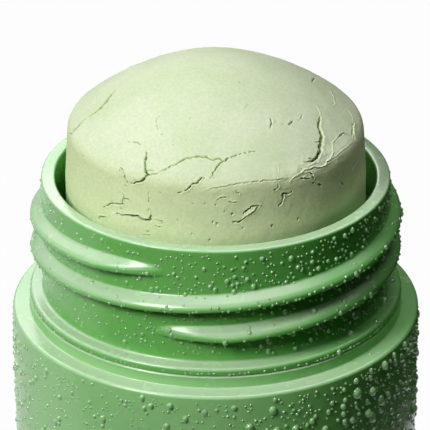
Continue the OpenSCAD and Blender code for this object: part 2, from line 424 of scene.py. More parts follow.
@dataclass(frozen=True)
class DryGreenClay:
    """Green kaolin paste that was poured, set and dried.

    It is chalky and almost without gloss. Fine grains catch the light, and broken edges are a little paler
    than the skin. Cracks and pits are painted a darker olive inside, as painted shade, the deepest almost
    black. The side is painted paler and yellower than the top, as painted light.
    """

    name: str = "dry_green_clay"
    colour: str = "#D4DEC0"
    patch_colour: str = "#CBD8B3"
    # painted light: the side, whose faces look sideways, is painted paler and yellower than the top
    side_light_colour: str = "#DEEBB9"
    # painted shade inside cracks and pits: olive, and almost black in the deepest
    crack_shade_colour: str = "#6C8A2E"
    deep_crack_shade_colour: str = "#36450F"
    crumb_colour: str = "#DFE9C8"
    patch_mm: float = 5.0
    lump_mm: float = 0.9
    grain_mm: float = 0.28
    grain_depth_mm: float = 0.032
    speck_shades: Point2 = (0.93, 1.04)
    side_reach: Point2 = (0.15, 0.75)
    deep_shade_reach: Point2 = (0.84, 1.0)

    def build(self) -> bpy.types.Material:
        """Makes the material."""
        material, tree = new_material(self.name)
        where = add_node(tree, "ShaderNodeTexCoord").outputs["Object"]
        patches = spread(tree, grain(tree, where, self.patch_mm, 3.0), NOISE_MIDDLE, (0.0, 1.0))
        facing = add_node(tree, "ShaderNodeNewGeometry").outputs["Normal"]
        upward = add_node(tree, "ShaderNodeSeparateXYZ", None, {"Vector": facing}).outputs["Z"]
        # painted light: sideways faces get the paler, yellower side colour
        side_facing = spread(tree, upward, self.side_reach, (1.0, 0.0))
        poured = blend_colours(tree, patches, linear(self.colour), linear(self.patch_colour))
        skin = blend_colours(tree, side_facing, poured, linear(self.side_light_colour))
        grains = grain(tree, where, self.grain_mm, 3.0)
        specks = spread(tree, grains, NOISE_WIDE, self.speck_shades)
        channels = {"Red": specks, "Green": specks, "Blue": specks}
        speck_colour = add_node(tree, "ShaderNodeCombineColor", None, channels).outputs["Color"]
        grained = blend_colours(tree, 1.0, skin, speck_colour, "MULTIPLY")
        crumb = add_node(tree, "ShaderNodeAttribute", {"attribute_name": "crumb"}).outputs["Fac"]
        broken = blend_colours(tree, crumb, grained, linear(self.crumb_colour))
        # painted shade: the crack attribute paints cracks and pits a darker olive inside, the deepest
        # almost black
        crack = add_node(tree, "ShaderNodeAttribute", {"attribute_name": "crack"}).outputs["Fac"]
        recess_shaded = blend_colours(tree, crack, broken, linear(self.crack_shade_colour))
        deep_shade = spread(tree, crack, self.deep_shade_reach, (0.0, 1.0))
        colour = blend_colours(tree, deep_shade, recess_shaded, linear(self.deep_crack_shade_colour))
        lumps = grain(tree, where, self.lump_mm, 3.0)
        coarse = add_bump(tree, lumps, self.grain_depth_mm * 2, 0.5)
        bump = add_bump(tree, grains, self.grain_depth_mm, 0.7, coarse)
        clay = add_node(
            tree,
            "ShaderNodeBsdfPrincipled",
            None,
            {
                "Base Color": colour,
                "Roughness": spread(tree, specks, self.speck_shades, (0.92, 0.8)),
                "IOR": 1.5,
                "Specular IOR Level": 0.25,
                "Normal": bump,
            },
        )
        show(tree, clay.outputs["BSDF"])
        return material


@dataclass(frozen=True)
class ClearWater:
    """Clear still water, in drops too small for bent light to be followed ray by ray.

    The plastic shows through a little. A pale crescent is painted on the drop's far side from the lamp, as
    a painted highlight, and its near edge is painted darker, as painted shade; the lamp also gives it a
    small sharp highlight. The painted crescent and the painted near edge are read from an attribute of the
    drops that marks their far and near sides.
    """

    name: str = "clear_water"
    body: str = "#98CF88"
    # painted shade: the colour of the drop's near edge, towards the lamp
    near_edge: str = "#5D9E4D"
    # painted highlight: the pale crescent on the drop's far side from the lamp
    crescent: str = "#F2FBEC"
    edge_shade_reach: Point2 = (-0.95, -0.5)
    crescent_highlight_reach: Point2 = (0.05, 0.6)
    film_mm: float = 1.5
    film_roughness: Point2 = (0.08, 0.14)
    cover: float = 0.8

    def build(self) -> bpy.types.Material:
        """Makes the material."""
        material, tree = new_material(self.name)
        where = add_node(tree, "ShaderNodeTexCoord").outputs["Object"]
        film = spread(tree, grain(tree, where, self.film_mm), NOISE_WIDE, self.film_roughness)
        # painted light: the attribute runs from -1 on the near edge, painted darker, to 1 on the far side,
        # painted with the pale crescent
        painted_light = add_node(tree, "ShaderNodeAttribute", {"attribute_name": "painted_light"}).outputs["Fac"]
        edge_shade = spread(tree, painted_light, self.edge_shade_reach, (1.0, 0.0))
        pale = spread(tree, painted_light, self.crescent_highlight_reach, (0.0, 1.0))
        shaded = blend_colours(tree, edge_shade, linear(self.body), linear(self.near_edge))
        water = add_node(
            tree,
            "ShaderNodeBsdfPrincipled",
            None,
            {
                "Base Color": blend_colours(tree, pale, shaded, linear(self.crescent)),
                "Roughness": film,
                "IOR": 1.333,
                "Specular IOR Level": 1.0,
                "Coat Weight": 1.0,
                "Coat Roughness": 0.03,
                "Alpha": self.cover,
            },
        )
        show(tree, water.outputs["BSDF"])
        return material


# Meshes


def rest_selection() -> None:
    """Leaves edit mode and deselects everything."""
    if bpy.context.mode != "OBJECT":
        bpy.ops.object.mode_set(mode="OBJECT")
    bpy.ops.object.select_all(action="DESELECT")


def take(piece: bpy.types.Object) -> None:
    """Makes a piece the only selected object and the active one.

    Args:
        piece: The piece to work on.
    """
    rest_selection()
    piece.select_set(True)
    bpy.context.view_layer.objects.active = piece


def arc(centre: Point2, radius: float, start: float, end: float, steps: int) -> Outline:
    """Points of an arc in the outline's plane.

    Args:
        centre: Centre of the arc.
        radius: Its radius.
        start: Angle of its first point, in degrees.
        end: Angle of its last point.
        steps: Number of its segments.

    Returns:
        The points, ends included.
    """
    angles = [math.radians(start + (end - start) * i / steps) for i in range(steps + 1)]
    return [(centre[0] + radius * math.cos(a), centre[1] + radius * math.sin(a)) for a in angles]


def climb(radius: float, low: float, high: float, step: float) -> Outline:
    """Evenly spaced points of an upright line, without its ends.

    Args:
        radius: The line's distance from the axis.
        low: Height of its lower end, or of its start where the line runs down.
        high: Height of its other end.
        step: Longest spacing.

    Returns:
        The points between the ends.
    """
    count = max(1, math.ceil(abs(high - low) / step))
    return [(radius, low + (high - low) * i / count) for i in range(1, count)]


def turn_outline(name: str, outline: Outline, steps: int) -> bpy.types.Object:
    """Draws a closed outline point by point and spins it round the Z axis.

    Args:
        name: Name of the piece.
        outline: Distance from the axis and height of each point, in millimetres.
        steps: Number of faces round the piece.

    Returns:
        The closed piece, at the origin.
    """
    rest_selection()
    bpy.ops.mesh.primitive_plane_add(size=MM)
    piece = bpy.context.active_object
    piece.name = name
    piece.data.name = name
    bpy.ops.object.mode_set(mode="EDIT")
    bpy.ops.mesh.select_all(action="SELECT")
    bpy.ops.mesh.merge(type="CENTER")
    bpy.ops.transform.translate(value=(outline[0][0] * MM, 0, outline[0][1] * MM))
    for (r0, z0), (r1, z1) in zip(outline, outline[1:]):
        step = ((r1 - r0) * MM, 0, (z1 - z0) * MM)
        bpy.ops.mesh.extrude_region_move(TRANSFORM_OT_translate={"value": step})
    bpy.ops.mesh.select_all(action="SELECT")
    bpy.ops.mesh.spin(steps=steps, angle=math.tau, center=(0, 0, 0), axis=(0, 0, 1))
    bpy.ops.mesh.select_all(action="SELECT")
    bpy.ops.mesh.remove_doubles(threshold=2e-4 * MM)
    bpy.ops.mesh.normals_make_consistent(inside=False)
    bpy.ops.object.mode_set(mode="OBJECT")
    return piece


def read_points(piece: bpy.types.Object) -> np.ndarray:
    """Reads a mesh's vertices.

    Args:
        piece: The piece.

    Returns:
        One row of x, y and z for each vertex, in millimetres.
    """
    flat = np.empty(len(piece.data.vertices) * 3, np.float64)
    piece.data.vertices.foreach_get("co", flat)
    return flat.reshape(-1, 3) / MM


def write_points(piece: bpy.types.Object, points: np.ndarray) -> None:
    """Moves a mesh's vertices.

    Args:
        piece: The piece.
        points: One row for each vertex, in millimetres.
    """
    piece.data.vertices.foreach_set("co", (points * MM).ravel())
    piece.data.update()


def smooth(piece: bpy.types.Object, angle: float = 35.0) -> None:
    """Shades a piece smooth, with edges sharper than an angle left crisp.

    Args:
        piece: The piece.
        angle: The angle, in degrees.
    """
    take(piece)
    bpy.ops.object.shade_smooth_by_angle(angle=math.radians(angle))
    rest_selection()


def finish_piece(
    piece: bpy.types.Object,
    material: bpy.types.Material,
    body: Body,
    replaced: Iterable[str] = (),
) -> None:
    """Dresses a piece and ties it to the frame.

    Args:
        piece: The piece.
        material: Its material.
        body: The body that it rides on.
        replaced: The CAD nodes that it stands for.
    """
    piece.data.materials.clear()
    piece.data.materials.append(material)
    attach(piece, body.value)
    for node in replaced:
        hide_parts(node)
    LOG.info("%s: %d vertices, on %s", piece.name, len(piece.data.vertices), body.value)


# Camera


@dataclass(frozen=True)
class CameraView:
    """The photograph's view: a long lens that looks down on the neck from the front.

    Distances are in millimetres, angles in degrees and places in the picture in pixels of a square frame.
    """

    rim_height: float = 66.0
    distance: float = 330.6
    elevation: float = 25.655
    focal_pixels: float = 3426.6
    frame_pixels: float = 430.0
    rim_column: float = 215.74
    rim_row: float = 172.08
    sensor_mm: float = 36.0

    @property
    def place(self) -> Vector:
        """Place of the camera, in metres."""
        lift = math.radians(self.elevation)
        away, up = self.distance * math.cos(lift), self.distance * math.sin(lift)
        return Vector((0, -away, self.rim_height + up)) * MM

    @property
    def angles(self) -> tuple[float, float, float]:
        """Turn of the camera, as Euler angles."""
        middle = self.frame_pixels / 2
        tilt = math.atan((middle - self.rim_row) / self.focal_pixels)
        pan = math.atan((self.rim_column - middle) / self.focal_pixels)
        return (math.pi / 2 - math.radians(self.elevation) - tilt, 0.0, pan)

    def make(self) -> bpy.types.Object:
        """Adds the camera and makes it the scene's own."""
        rest_selection()
        bpy.ops.object.camera_add(location=self.place, rotation=self.angles)
        camera = bpy.context.active_object
        camera.name = "photo_camera"
        camera.data.sensor_width = self.sensor_mm
        camera.data.lens = self.focal_pixels / self.frame_pixels * self.sensor_mm
        camera.data.clip_start = 0.01
        camera.data.clip_end = 20.0
        bpy.context.scene.camera = camera
        bpy.context.view_layer.update()
        return camera

    def ray(self, camera: bpy.types.Object, column: float, row: float) -> Vector:
        """Direction in which the camera sees a pixel.

        Args:
            camera: The camera.
            column: The pixel's column.
            row: The pixel's row.

        Returns:
            The direction, of length 1.
        """
        middle = self.frame_pixels / 2
        local = Vector(((column - middle) / self.focal_pixels, (middle - row) / self.focal_pixels, -1.0))
        return (camera.matrix_world.to_3x3() @ local).normalized()


# The container


@dataclass(frozen=True)
class ContainerSizes:
    """Sizes of the body, the neck and the tube, in millimetres."""

    box_r: float = 20.0
    body_r: float = 19.88
    shell_bore_r: float = 18.4
    shell_z: float = 13.0
    shell_lead_in: float = 0.4
    shell_wall: float = 1.6
    shoulder_z: float = 52.3
    shoulder_round: float = 0.35
    upstand_r: float = 18.2
    seam_z: float = 53.5
    seam_bevel: float = 0.12
    collar_r: float = 18.15
    collar_top: float = 54.3
    collar_round: float = 0.35
    neck_r: float = 16.85
    bore_r: float = 15.5
    rim_z: float = 66.0
    rim_round: float = 0.25
    floor_z: float = 14.0
    floor_top: float = 16.0
    base_flange_r: float = 18.3
    base_flange_t: float = 1.4
    hole_r: float = 3.08
    seat_clearance: float = 0.1
    rib_count: int = 3
    rib_w: float = 2.0
    rib_reach: float = 0.5
    rib_top: float = 61.0


@dataclass(frozen=True)
class CapThread:
    """The ridges that a screw cap turns on, in millimetres and degrees."""

    starts: int = 2
    lead: float = 6.6
    reach: float = 1.15
    width: float = 1.8
    low_z: float = 57.0
    azimuth: float = -107.0
    low_tip: float = 3.5
    high_tip: float = 1.5
    low_lift: float = 0.4
    fade: float = 24.0
    taper: float = 0.75
    sink: float = 0.3
    end_share: float = 0.12
    foot_round: float = 0.05
    profile: tuple[Point2, ...] = (
        (-1.12, 0.0),
        (-0.86, 0.2),
        (-0.7, 0.62),
        (-0.61, 0.84),
        (-0.54, 0.95),
        (-0.44, 0.995),
        (-0.3, 1.0),
        (-0.12, 0.985),
        (0.05, 0.94),
        (0.3, 0.8),
        (0.86, 0.3),
        (1.0, 0.2),
        (1.25, 0.0),
    )

    def height(self, azimuth: np.ndarray, z: np.ndarray) -> np.ndarray:
        """How far the ridges stand out of the neck.

        Args:
            azimuth: Azimuth of each point, in degrees.
            z: Height of each point.

        Returns:
            The height of the ridge over the neck's wall at each point.
        """
        highest = np.zeros_like(z)
        for start, turn in ((start, turn) for start in range(self.starts) for turn in (0, 360)):
            first = self.azimuth - self.low_tip + 360 * start / self.starts
            along = np.mod(azimuth - first, 360.0) + turn
            to_end = np.clip(np.minimum(along, 360 + self.low_tip + self.high_tip - along), 0, self.fade)
            swell = (1 - self.end_share) * (to_end / self.fade) ** self.taper
            share = self.end_share * (to_end > 0) + swell
            lift = self.low_lift * np.clip(1 - along / self.fade, 0, 1)
            across = (z - self.low_z - lift - self.lead * (along - self.low_tip) / 360) / (self.width / 2)
            crest = np.interp(across, [p[0] for p in self.profile], [p[1] for p in self.profile])
            raw = (self.reach + self.sink) * share * crest - self.sink
            softened = 0.5 * (raw + np.sqrt(raw**2 + self.foot_round**2))
            floor = 0.5 * (-self.sink + math.hypot(self.sink, self.foot_round))
            highest = np.maximum(highest, np.where(np.abs(across) < 1.35, softened - floor, 0.0))
        return highest


class Container:
    """The body wall with its shoulder, and the tube with its threaded neck."""

    columns = 384
    thread_row = 0.058

    def __init__(self, sizes: ContainerSizes, thread: CapThread) -> None:
        """Keeps the sizes.

        Args:
            sizes: Sizes of the container.
            thread: The cap's thread.
        """
        self.sizes = sizes
        self.thread = thread

    def neck_outline(self) -> Outline:
        """Outline of the tube, from the hole in its floor, up its outside and down its bore."""
        s = self.sizes
        fillet = 0.3
        outline = [(s.hole_r, s.floor_z), (s.base_flange_r - 0.2, s.floor_z)]
        outline += [(s.base_flange_r, s.floor_z + 0.2)]
        outline += [(s.base_flange_r, s.floor_z + s.base_flange_t), (s.neck_r, s.floor_z + s.base_flange_t)]
        outline += [(s.neck_r, 30.0), (s.neck_r, 45.0), (s.neck_r, s.seam_z)]
        outline += [(s.collar_r - s.seam_bevel, s.seam_z), (s.collar_r, s.seam_z + s.seam_bevel)]
        round_centre = (s.collar_r - s.collar_round, s.collar_top - s.collar_round)
        outline += arc(round_centre, s.collar_round, 0, 90, 9)
        outline += arc((s.neck_r + fillet, s.collar_top + fillet), fillet, 270, 180, 7)
        thread_low = self.thread.low_z - self.thread.width / 2 - 0.15
        thread_high = self.thread.low_z + self.thread.lead + self.thread.width / 2 + 0.15
        outline += climb(s.neck_r, s.collar_top + fillet, thread_low, 0.5)
        outline += [(s.neck_r, thread_low)]
        outline += climb(s.neck_r, thread_low, thread_high, self.thread_row)
        outline += [(s.neck_r, thread_high)]
        outline += climb(s.neck_r, thread_high, s.rim_z - s.rim_round, 0.4)
        outline += arc((s.neck_r - s.rim_round, s.rim_z - s.rim_round), s.rim_round, 0, 90, 6)
        outline += arc((s.bore_r + s.rim_round, s.rim_z - s.rim_round), s.rim_round, 90, 180, 6)
        outline += climb(s.bore_r, s.rim_z - s.rim_round, s.floor_top, 5.0)
        outline += [(s.bore_r, s.floor_top), (s.hole_r, s.floor_top), (s.hole_r, s.floor_z)]
        return outline

    def shell_outline(self) -> Outline:
        """Outline of the body wall, its shoulder and the raised ring under the collar."""
        s = self.sizes
        ring_bore_r = s.neck_r + s.seat_clearance
        fillet = 0.15
        outline = [(s.shell_bore_r + s.shell_lead_in, s.shell_z)]
        outline += arc((s.body_r - 0.3, s.shell_z + 0.3), 0.3, 270, 360, 5)
        outline += climb(s.body_r, s.shell_z + 0.3, s.shoulder_z - s.shoulder_round, 3.0)
        round_centre = (s.body_r - s.shoulder_round, s.shoulder_z - s.shoulder_round)
        outline += arc(round_centre, s.shoulder_round, 0, 90, 10)
        outline += arc((s.upstand_r + fillet, s.shoulder_z + fillet), fillet, 270, 180, 5)
        outline += [(s.upstand_r, s.seam_z - s.seam_bevel), (s.upstand_r - s.seam_bevel, s.seam_z)]
        outline += [(ring_bore_r, s.seam_z), (ring_bore_r, s.shoulder_z - s.shell_wall)]
        outline += [(s.shell_bore_r, s.shoulder_z - s.shell_wall)]
        outline += climb(s.shell_bore_r, s.shoulder_z - s.shell_wall, s.shell_z + s.shell_lead_in, 5.0)
        outline += [(s.shell_bore_r, s.shell_z + s.shell_lead_in), outline[0]]
        return outline

    def build_neck(self) -> bpy.types.Object:
        """Makes the tube with its ridges and ribs."""
        neck = turn_outline("threaded_neck", self.neck_outline(), self.columns)
        points = read_points(neck)
        radius = np.hypot(points[:, 0], points[:, 1])
        azimuth = np.degrees(np.arctan2(points[:, 1], points[:, 0]))
        on_wall = (radius > self.sizes.neck_r - 0.01) & (points[:, 2] > self.sizes.collar_top + 0.5)
        rise = np.where(on_wall, self.thread.height(azimuth, points[:, 2]), 0.0)
        points[:, :2] *= ((radius + rise) / radius)[:, None]
        write_points(neck, points)
        self._add_ribs(neck)
        smooth(neck, 50)
        return neck

    def _add_ribs(self, neck: bpy.types.Object) -> None:
        """Adds the ribs that keep the carrier from turning, with rounded edges.

        Args:
            neck: The tube that carries them.
        """
        s = self.sizes
        buried = 0.5
        low = s.floor_top - buried
        parts = [neck]
        for rib in range(s.rib_count):
            turn = math.radians(90 + 360 * rib / s.rib_count)
            rest_selection()
            middle_r = s.bore_r - s.rib_reach + (s.rib_reach + buried) / 2
            x, y = middle_r * math.cos(turn) * MM, middle_r * math.sin(turn) * MM
            place = (x, y, (low + s.rib_top) / 2 * MM)
            size = ((s.rib_reach + buried) * MM, s.rib_w * MM, (s.rib_top - low) * MM)
            bpy.ops.mesh.primitive_cube_add(size=1, location=place, rotation=(0, 0, turn), scale=size)
            bpy.ops.object.transform_apply(location=True, rotation=True, scale=True)
            bpy.ops.object.mode_set(mode="EDIT")
            bpy.ops.mesh.select_all(action="SELECT")
            bpy.ops.mesh.bevel(offset=0.15 * MM, segments=2, affect="EDGES")
            bpy.ops.object.mode_set(mode="OBJECT")
            parts.append(bpy.context.active_object)
        rest_selection()
        for part in parts:
            part.select_set(True)
        bpy.context.view_layer.objects.active = neck
        bpy.ops.object.join()

    def build_shell(self) -> bpy.types.Object:
        """Makes the body wall with its shoulder."""
        shell = turn_outline("body_shell", self.shell_outline(), self.columns)
        smooth(shell, 40)
        return shell

    def outer_surface(self, azimuth: float, z: float) -> tuple[Vector, Vector]:
        """A point of the surface that water can sit on.

        Args:
            azimuth: Azimuth of the point, in degrees.
            z: Its height, between the dial's gap and the rim.

        Returns:
            The point and the outward normal there, in millimetres.
        """
        s = self.sizes

        def radius(angle: float, height: float) -> float:
            if height < s.shoulder_z:
                return s.body_r
            if height < s.collar_top:
                return s.collar_r
            return s.neck_r + float(self.thread.height(np.array([angle]), np.array([height]))[0])

        step = 0.03
        here = radius(azimuth, z)
        slope_z = (radius(azimuth, z + step) - radius(azimuth, z - step)) / (2 * step)
        turn = math.radians(azimuth)
        out = Vector((math.cos(turn), math.sin(turn), 0))
        return out * here + Vector((0, 0, z)), (out - Vector((0, 0, slope_z))).normalized()


# The dial


@dataclass(frozen=True)
class DialSizes:
    """Sizes of the twist knob, in millimetres."""

    body_r: float = 20.0
    height: float = 12.6
    wall: float = 2.0
    hollow: float = 0.8
    ring_inner_r: float = 16.0
    edge_round: float = 0.8
    top_round: float = 0.4
    spigot_r: float = 18.1
    spigot_w: float = 1.6
    boss_top: float = 13.7
    boss_r: float = 5.0
    socket_r: float = 3.0
    flute_count: int = 40
    flute_d: float = 1.8
    flute_depth: float = 0.45
    flute_low: float = 1.6
    flute_high: float = 11.0
    flute_end: float = 0.9


class Dial:
    """The fluted knob at the base."""

    columns = 720

    def __init__(self, sizes: DialSizes) -> None:
        """Keeps the sizes.

        Args:
            sizes: Sizes of the dial.
        """
        self.sizes = sizes

    def outline(self) -> Outline:
        """Outline of the dial, from the middle of its underside to the floor of its socket."""
        s = self.sizes
        gate_r, gate_depth = 1.6, 0.15
        outline = [(0.0, s.hollow + gate_depth), (gate_r - 0.15, s.hollow + gate_depth), (gate_r, s.hollow)]
        outline += [(s.ring_inner_r - s.hollow - 0.2, s.hollow), (s.ring_inner_r - 0.1, 0.12)]
        outline += [(s.ring_inner_r + 0.15, 0.0)]
        outline += arc((s.body_r - s.edge_round, s.edge_round), s.edge_round, 270, 360, 8)
        outline += climb(s.body_r, s.edge_round, s.flute_low, 0.4)
        outline += [(s.body_r, s.flute_low)]
        outline += climb(s.body_r, s.flute_low, s.flute_low + s.flute_end, 0.09)
        outline += climb(s.body_r, s.flute_low + s.flute_end, s.flute_high - s.flute_end, 1.8)
        outline += climb(s.body_r, s.flute_high - s.flute_end, s.flute_high, 0.09)
        outline += [(s.body_r, s.flute_high)]
        outline += arc((s.body_r - s.top_round, s.height - s.top_round), s.top_round, 0, 90, 5)
        outline += [(s.spigot_r, s.height), (s.spigot_r, s.boss_top), (s.spigot_r - s.spigot_w, s.boss_top)]
        outline += [(s.spigot_r - s.spigot_w, s.height - s.wall)]
        outline += [(s.body_r - s.wall, s.height - 2 * s.wall)]
        outline += [(s.body_r - s.wall, s.hollow + s.wall), (s.boss_r, s.hollow + s.wall)]
        outline += [(s.boss_r, s.boss_top), (s.socket_r, s.boss_top), (s.socket_r, s.hollow + s.wall)]
        outline += [(0.0, s.hollow + s.wall)]
        return outline

    def build(self) -> bpy.types.Object:
        """Makes the knob with its grip flutes."""
        s = self.sizes
        dial = turn_outline("twist_dial", self.outline(), self.columns)
        points = read_points(dial)
        radius = np.hypot(points[:, 0], points[:, 1])
        azimuth = np.degrees(np.arctan2(points[:, 1], points[:, 0]))
        pitch = 360 / s.flute_count
        off = (np.mod(azimuth, pitch) - pitch / 2) * math.pi / 180 * s.body_r
        cut_r = s.flute_d / 2
        cut = np.sqrt(np.maximum(0.0, cut_r**2 - off**2)) - (cut_r - s.flute_depth)
        z = points[:, 2]
        to_end = np.minimum(z - s.flute_low, s.flute_high - z)
        end = np.sqrt(np.clip(1 - (1 - np.clip(to_end / s.flute_end, 0, 1)) ** 2, 0, 1))
        soft = 0.06
        depth = 0.5 * (cut + np.sqrt(cut**2 + soft**2)) * end
        on_wall = (radius > s.body_r - 0.001) & (to_end > 0)
        points[:, :2] *= np.where(on_wall, (radius - depth) / np.maximum(radius, 1e-6), 1.0)[:, None]
        write_points(dial, points)
        smooth(dial, 40)
        return dial


# The clay


@dataclass(frozen=True)
class ClaySizes:
    """Sizes of the clay plug, in millimetres."""

    low_z: float = 36.65
    side_r: float = 14.5
    rim_z: float = 66.0
    edge_r: float = 14.2
    edge_z: float = 71.5
    dome_h: float = 6.17
    dome_power: float = 1.9
    edge_round: float = 1.0
    pocket_r: float = 5.95
    pocket_top: float = 39.75
    bore_r: float = 4.6
    bore_top: float = 71.05


@dataclass(frozen=True)
class Crack:
    """A drying crack: its route on the clay, in pixels of the view, and its size in millimetres."""

    route: tuple[Point2, ...]
    width: float = 0.16
    depth: float = 0.5
    lip: float = 0.03
    # the last number: how strongly the crack's inside is painted darker, as painted shade
    recess_shade: float = 0.85


@dataclass(frozen=True)
class Pit:
    """A small hole in the clay, at a pixel of the view, in millimetres."""

    place: Point2
    radius: float
    depth: float


@dataclass
class Groove:
    """A crack once its route lies on the clay, in millimetres."""

    points: np.ndarray
    width: float
    depth: float
    lip: float
    # how strongly the crack's inside is painted darker, as painted shade
    recess_shade: float


FRONT_CRACKS: tuple[Crack, ...] = (
    Crack(
        (
            (146, 151), (146, 157), (145, 163), (144, 168), (147, 174), (143, 180), (139, 182),
            (131, 184),
        ),
        0.2, 0.7,
    ),
    Crack(
        (
            (148, 175), (158, 173), (167, 168), (178, 163), (185, 159), (192, 157), (199, 156),
            (207, 157), (212, 160), (220, 158), (223, 161), (232, 157), (240, 153), (248, 152),
            (257, 151),
        ),
        0.13, 0.4,
    ),
    Crack(((223, 161), (218, 165), (216, 168), (213, 173), (212, 177)), 0.16, 0.5),
    Crack(
        (
            (212, 177), (207, 178), (201, 178), (197, 182), (192, 185), (187, 190), (178, 194),
        ),
        0.14, 0.4, 0.05,
    ),
    Crack(((115, 90), (108, 99), (104, 104), (99, 109), (95, 113), (89, 116)), 0.42, 0.6, 0.02, 1.0),
    Crack(((85, 119), (81, 123), (76, 128), (72, 133), (70, 140)), 0.45, 0.6, 0.02, 1.0),
    Crack(((129, 142), (137, 142), (141, 145)), 0.12, 0.12, 0.01, 0.7),
    Crack(((160, 116), (157, 119), (156, 124), (157, 129)), 0.12, 0.12, 0.01, 0.5),
    Crack(((121, 168), (123, 173), (126, 180), (127, 185)), 0.15, 0.4),
    Crack(((122, 193), (124, 195), (123, 200), (122, 204), (113, 204), (104, 207)), 0.13, 0.35),
    Crack(((123, 199), (129, 200)), 0.1, 0.25),
    Crack(
        (
            (117, 214), (124, 215), (131, 216), (138, 217), (143, 220), (150, 220), (151, 214),
        ),
        0.2, 0.5, 0.05,
    ),
    Crack(((148, 192), (149, 202), (149, 208), (147, 213)), 0.08, 0.14, 0.01, 0.4),
    Crack(((99, 219), (101, 217), (106, 217)), 0.16, 0.2, 0.05, 0.5),
    Crack(((155, 219), (159, 221), (163, 221)), 0.14, 0.15, 0.05, 0.4),
    Crack(((156, 226), (161, 227)), 0.12, 0.15, 0.05, 0.4),
    Crack(((144, 235), (148, 236), (151, 235)), 0.14, 0.2, 0.04, 0.5),
    Crack(((315, 105), (317, 108), (320, 117)), 0.1, 0.08, 0.05, 0.1),
    Crack(
        (
            (320, 117), (319, 123), (319, 128), (321, 132), (323, 136), (321, 142), (320, 146),
            (321, 150), (318, 157), (315, 160), (310, 161),
        ),
        0.3, 1.2, 0.03, 1.0,
    ),
    Crack(((327, 166), (333, 160), (342, 152), (352, 144)), 0.09, 0.08, 0.05, 0.1),
    Crack(((310, 161), (303, 161)), 0.09, 0.25),
    Crack(
        (
            (291, 182), (298, 176), (307, 170), (315, 167), (320, 168), (326, 167), (328, 163),
            (333, 158), (334, 154), (335, 150), (334, 143), (338, 138),
        ),
        0.11, 0.18, 0.09, 0.15,
    ),
    Crack(((338, 138), (343, 133), (352, 136)), 0.12, 0.4, 0.04, 0.9),
    Crack(((352, 122), (352, 127), (352, 135)), 0.15, 0.5, 0.06, 1.0),
    Crack(((346, 108), (351, 115), (353, 122)), 0.1, 0.08, 0.06, 0.1),
    Crack(((354, 122), (353, 132), (354, 138), (357, 144)), 0.1, 0.15, 0.09, 0.1),
    Crack(((331, 92), (333, 98), (334, 103), (332, 105)), 0.1, 0.05, 0.06, 0.05),
    Crack(((312, 82), (315, 78)), 0.24, 0.2, 0.02, 0.8),
    Crack(((270, 118), (271, 122), (271, 127)), 0.12, 0.4, 0.03, 1.0),
    Crack(((289, 125), (292, 122), (294, 121)), 0.14, 0.35, 0.03, 0.9),
    Crack(((299, 121), (301, 117), (302, 114)), 0.1, 0.15, 0.02, 0.5),
    Crack(((299, 179), (305, 178), (310, 179)), 0.12, 0.4, 0.05, 1.0),
    Crack(((308, 172), (312, 175), (314, 178), (313, 180)), 0.12, 0.4, 0.04, 1.0),
    Crack(((312, 183), (317, 184), (322, 185)), 0.11, 0.35, 0.03, 0.9),
    Crack(((303, 165), (309, 168), (314, 165), (322, 163)), 0.08, 0.08, 0.04, 0.2),
    Crack(((298, 171), (303, 174), (309, 173)), 0.08, 0.08, 0.04, 0.2),
    Crack(((278, 184), (278, 188), (273, 191)), 0.12, 0.35, 0.03, 1.0),
    Crack(((292, 192), (287, 194), (282, 194), (283, 198), (282, 202), (279, 205)), 0.15, 0.5, 0.04, 1.0),
    Crack(((269, 165), (273, 166), (277, 167), (278, 171), (276, 180)), 0.08, 0.06, 0.04, 0.15),
    Crack(
        (
            (205, 191), (217, 188), (227, 186), (240, 183), (253, 182), (275, 180), (290, 178),
        ),
        0.09, 0.12, 0.05, 0.3,
    ),
    Crack(((217, 200), (222, 197), (227, 197)), 0.1, 0.12, 0.06, 0.3),
    Crack(((229, 201), (233, 203), (238, 203)), 0.1, 0.12, 0.06, 0.3),
    Crack(((236, 191), (240, 195)), 0.1, 0.12, 0.05, 0.3),
    Crack(((243, 213), (249, 210), (251, 207), (258, 205)), 0.15, 0.5, 0.02, 1.0),
    Crack(((233, 222), (240, 222), (244, 219)), 0.13, 0.4, 0.03, 1.0),
    Crack(((244, 219), (250, 214), (255, 210), (259, 206)), 0.12, 0.2, 0.12, 0.2),
    Crack(((356, 162), (354, 166), (353, 171)), 0.1, 0.2, 0.02, 0.8),
    Crack(((342, 181), (343, 184), (341, 188)), 0.14, 0.35, 0.03, 1.0),
    Crack(((245, 108), (248, 105)), 0.1, 0.1, 0.01, 0.4),
)

FRONT_PITS: tuple[Pit, ...] = tuple(
    Pit(*row)
    for row in (
        ((240, 82), 0.16, 0.1), ((162, 134), 0.12, 0.12), ((173, 145), 0.1, 0.1),
        ((186, 140), 0.1, 0.08), ((190, 118), 0.1, 0.1), ((224, 121), 0.09, 0.08),
        ((271, 127), 0.14, 0.2), ((276, 122), 0.16, 0.06), ((283, 124), 0.14, 0.05),
        ((232, 214), 0.13, 0.22), ((272, 226), 0.12, 0.2), ((298, 219), 0.12, 0.15),
        ((213, 222), 0.12, 0.15), ((217, 224), 0.16, 0.1), ((243, 228), 0.1, 0.12),
        ((210, 240), 0.12, 0.12), ((192, 234), 0.1, 0.08), ((193, 204), 0.1, 0.07),
        ((205, 204), 0.1, 0.07), ((338, 182), 0.1, 0.15), ((342, 183), 0.16, 0.3),
        ((358, 118), 0.16, 0.1), ((361, 122), 0.16, 0.1), ((162, 223), 0.14, 0.1),
        ((148, 232), 0.18, 0.1), ((121, 209), 0.12, 0.2),
    )
)


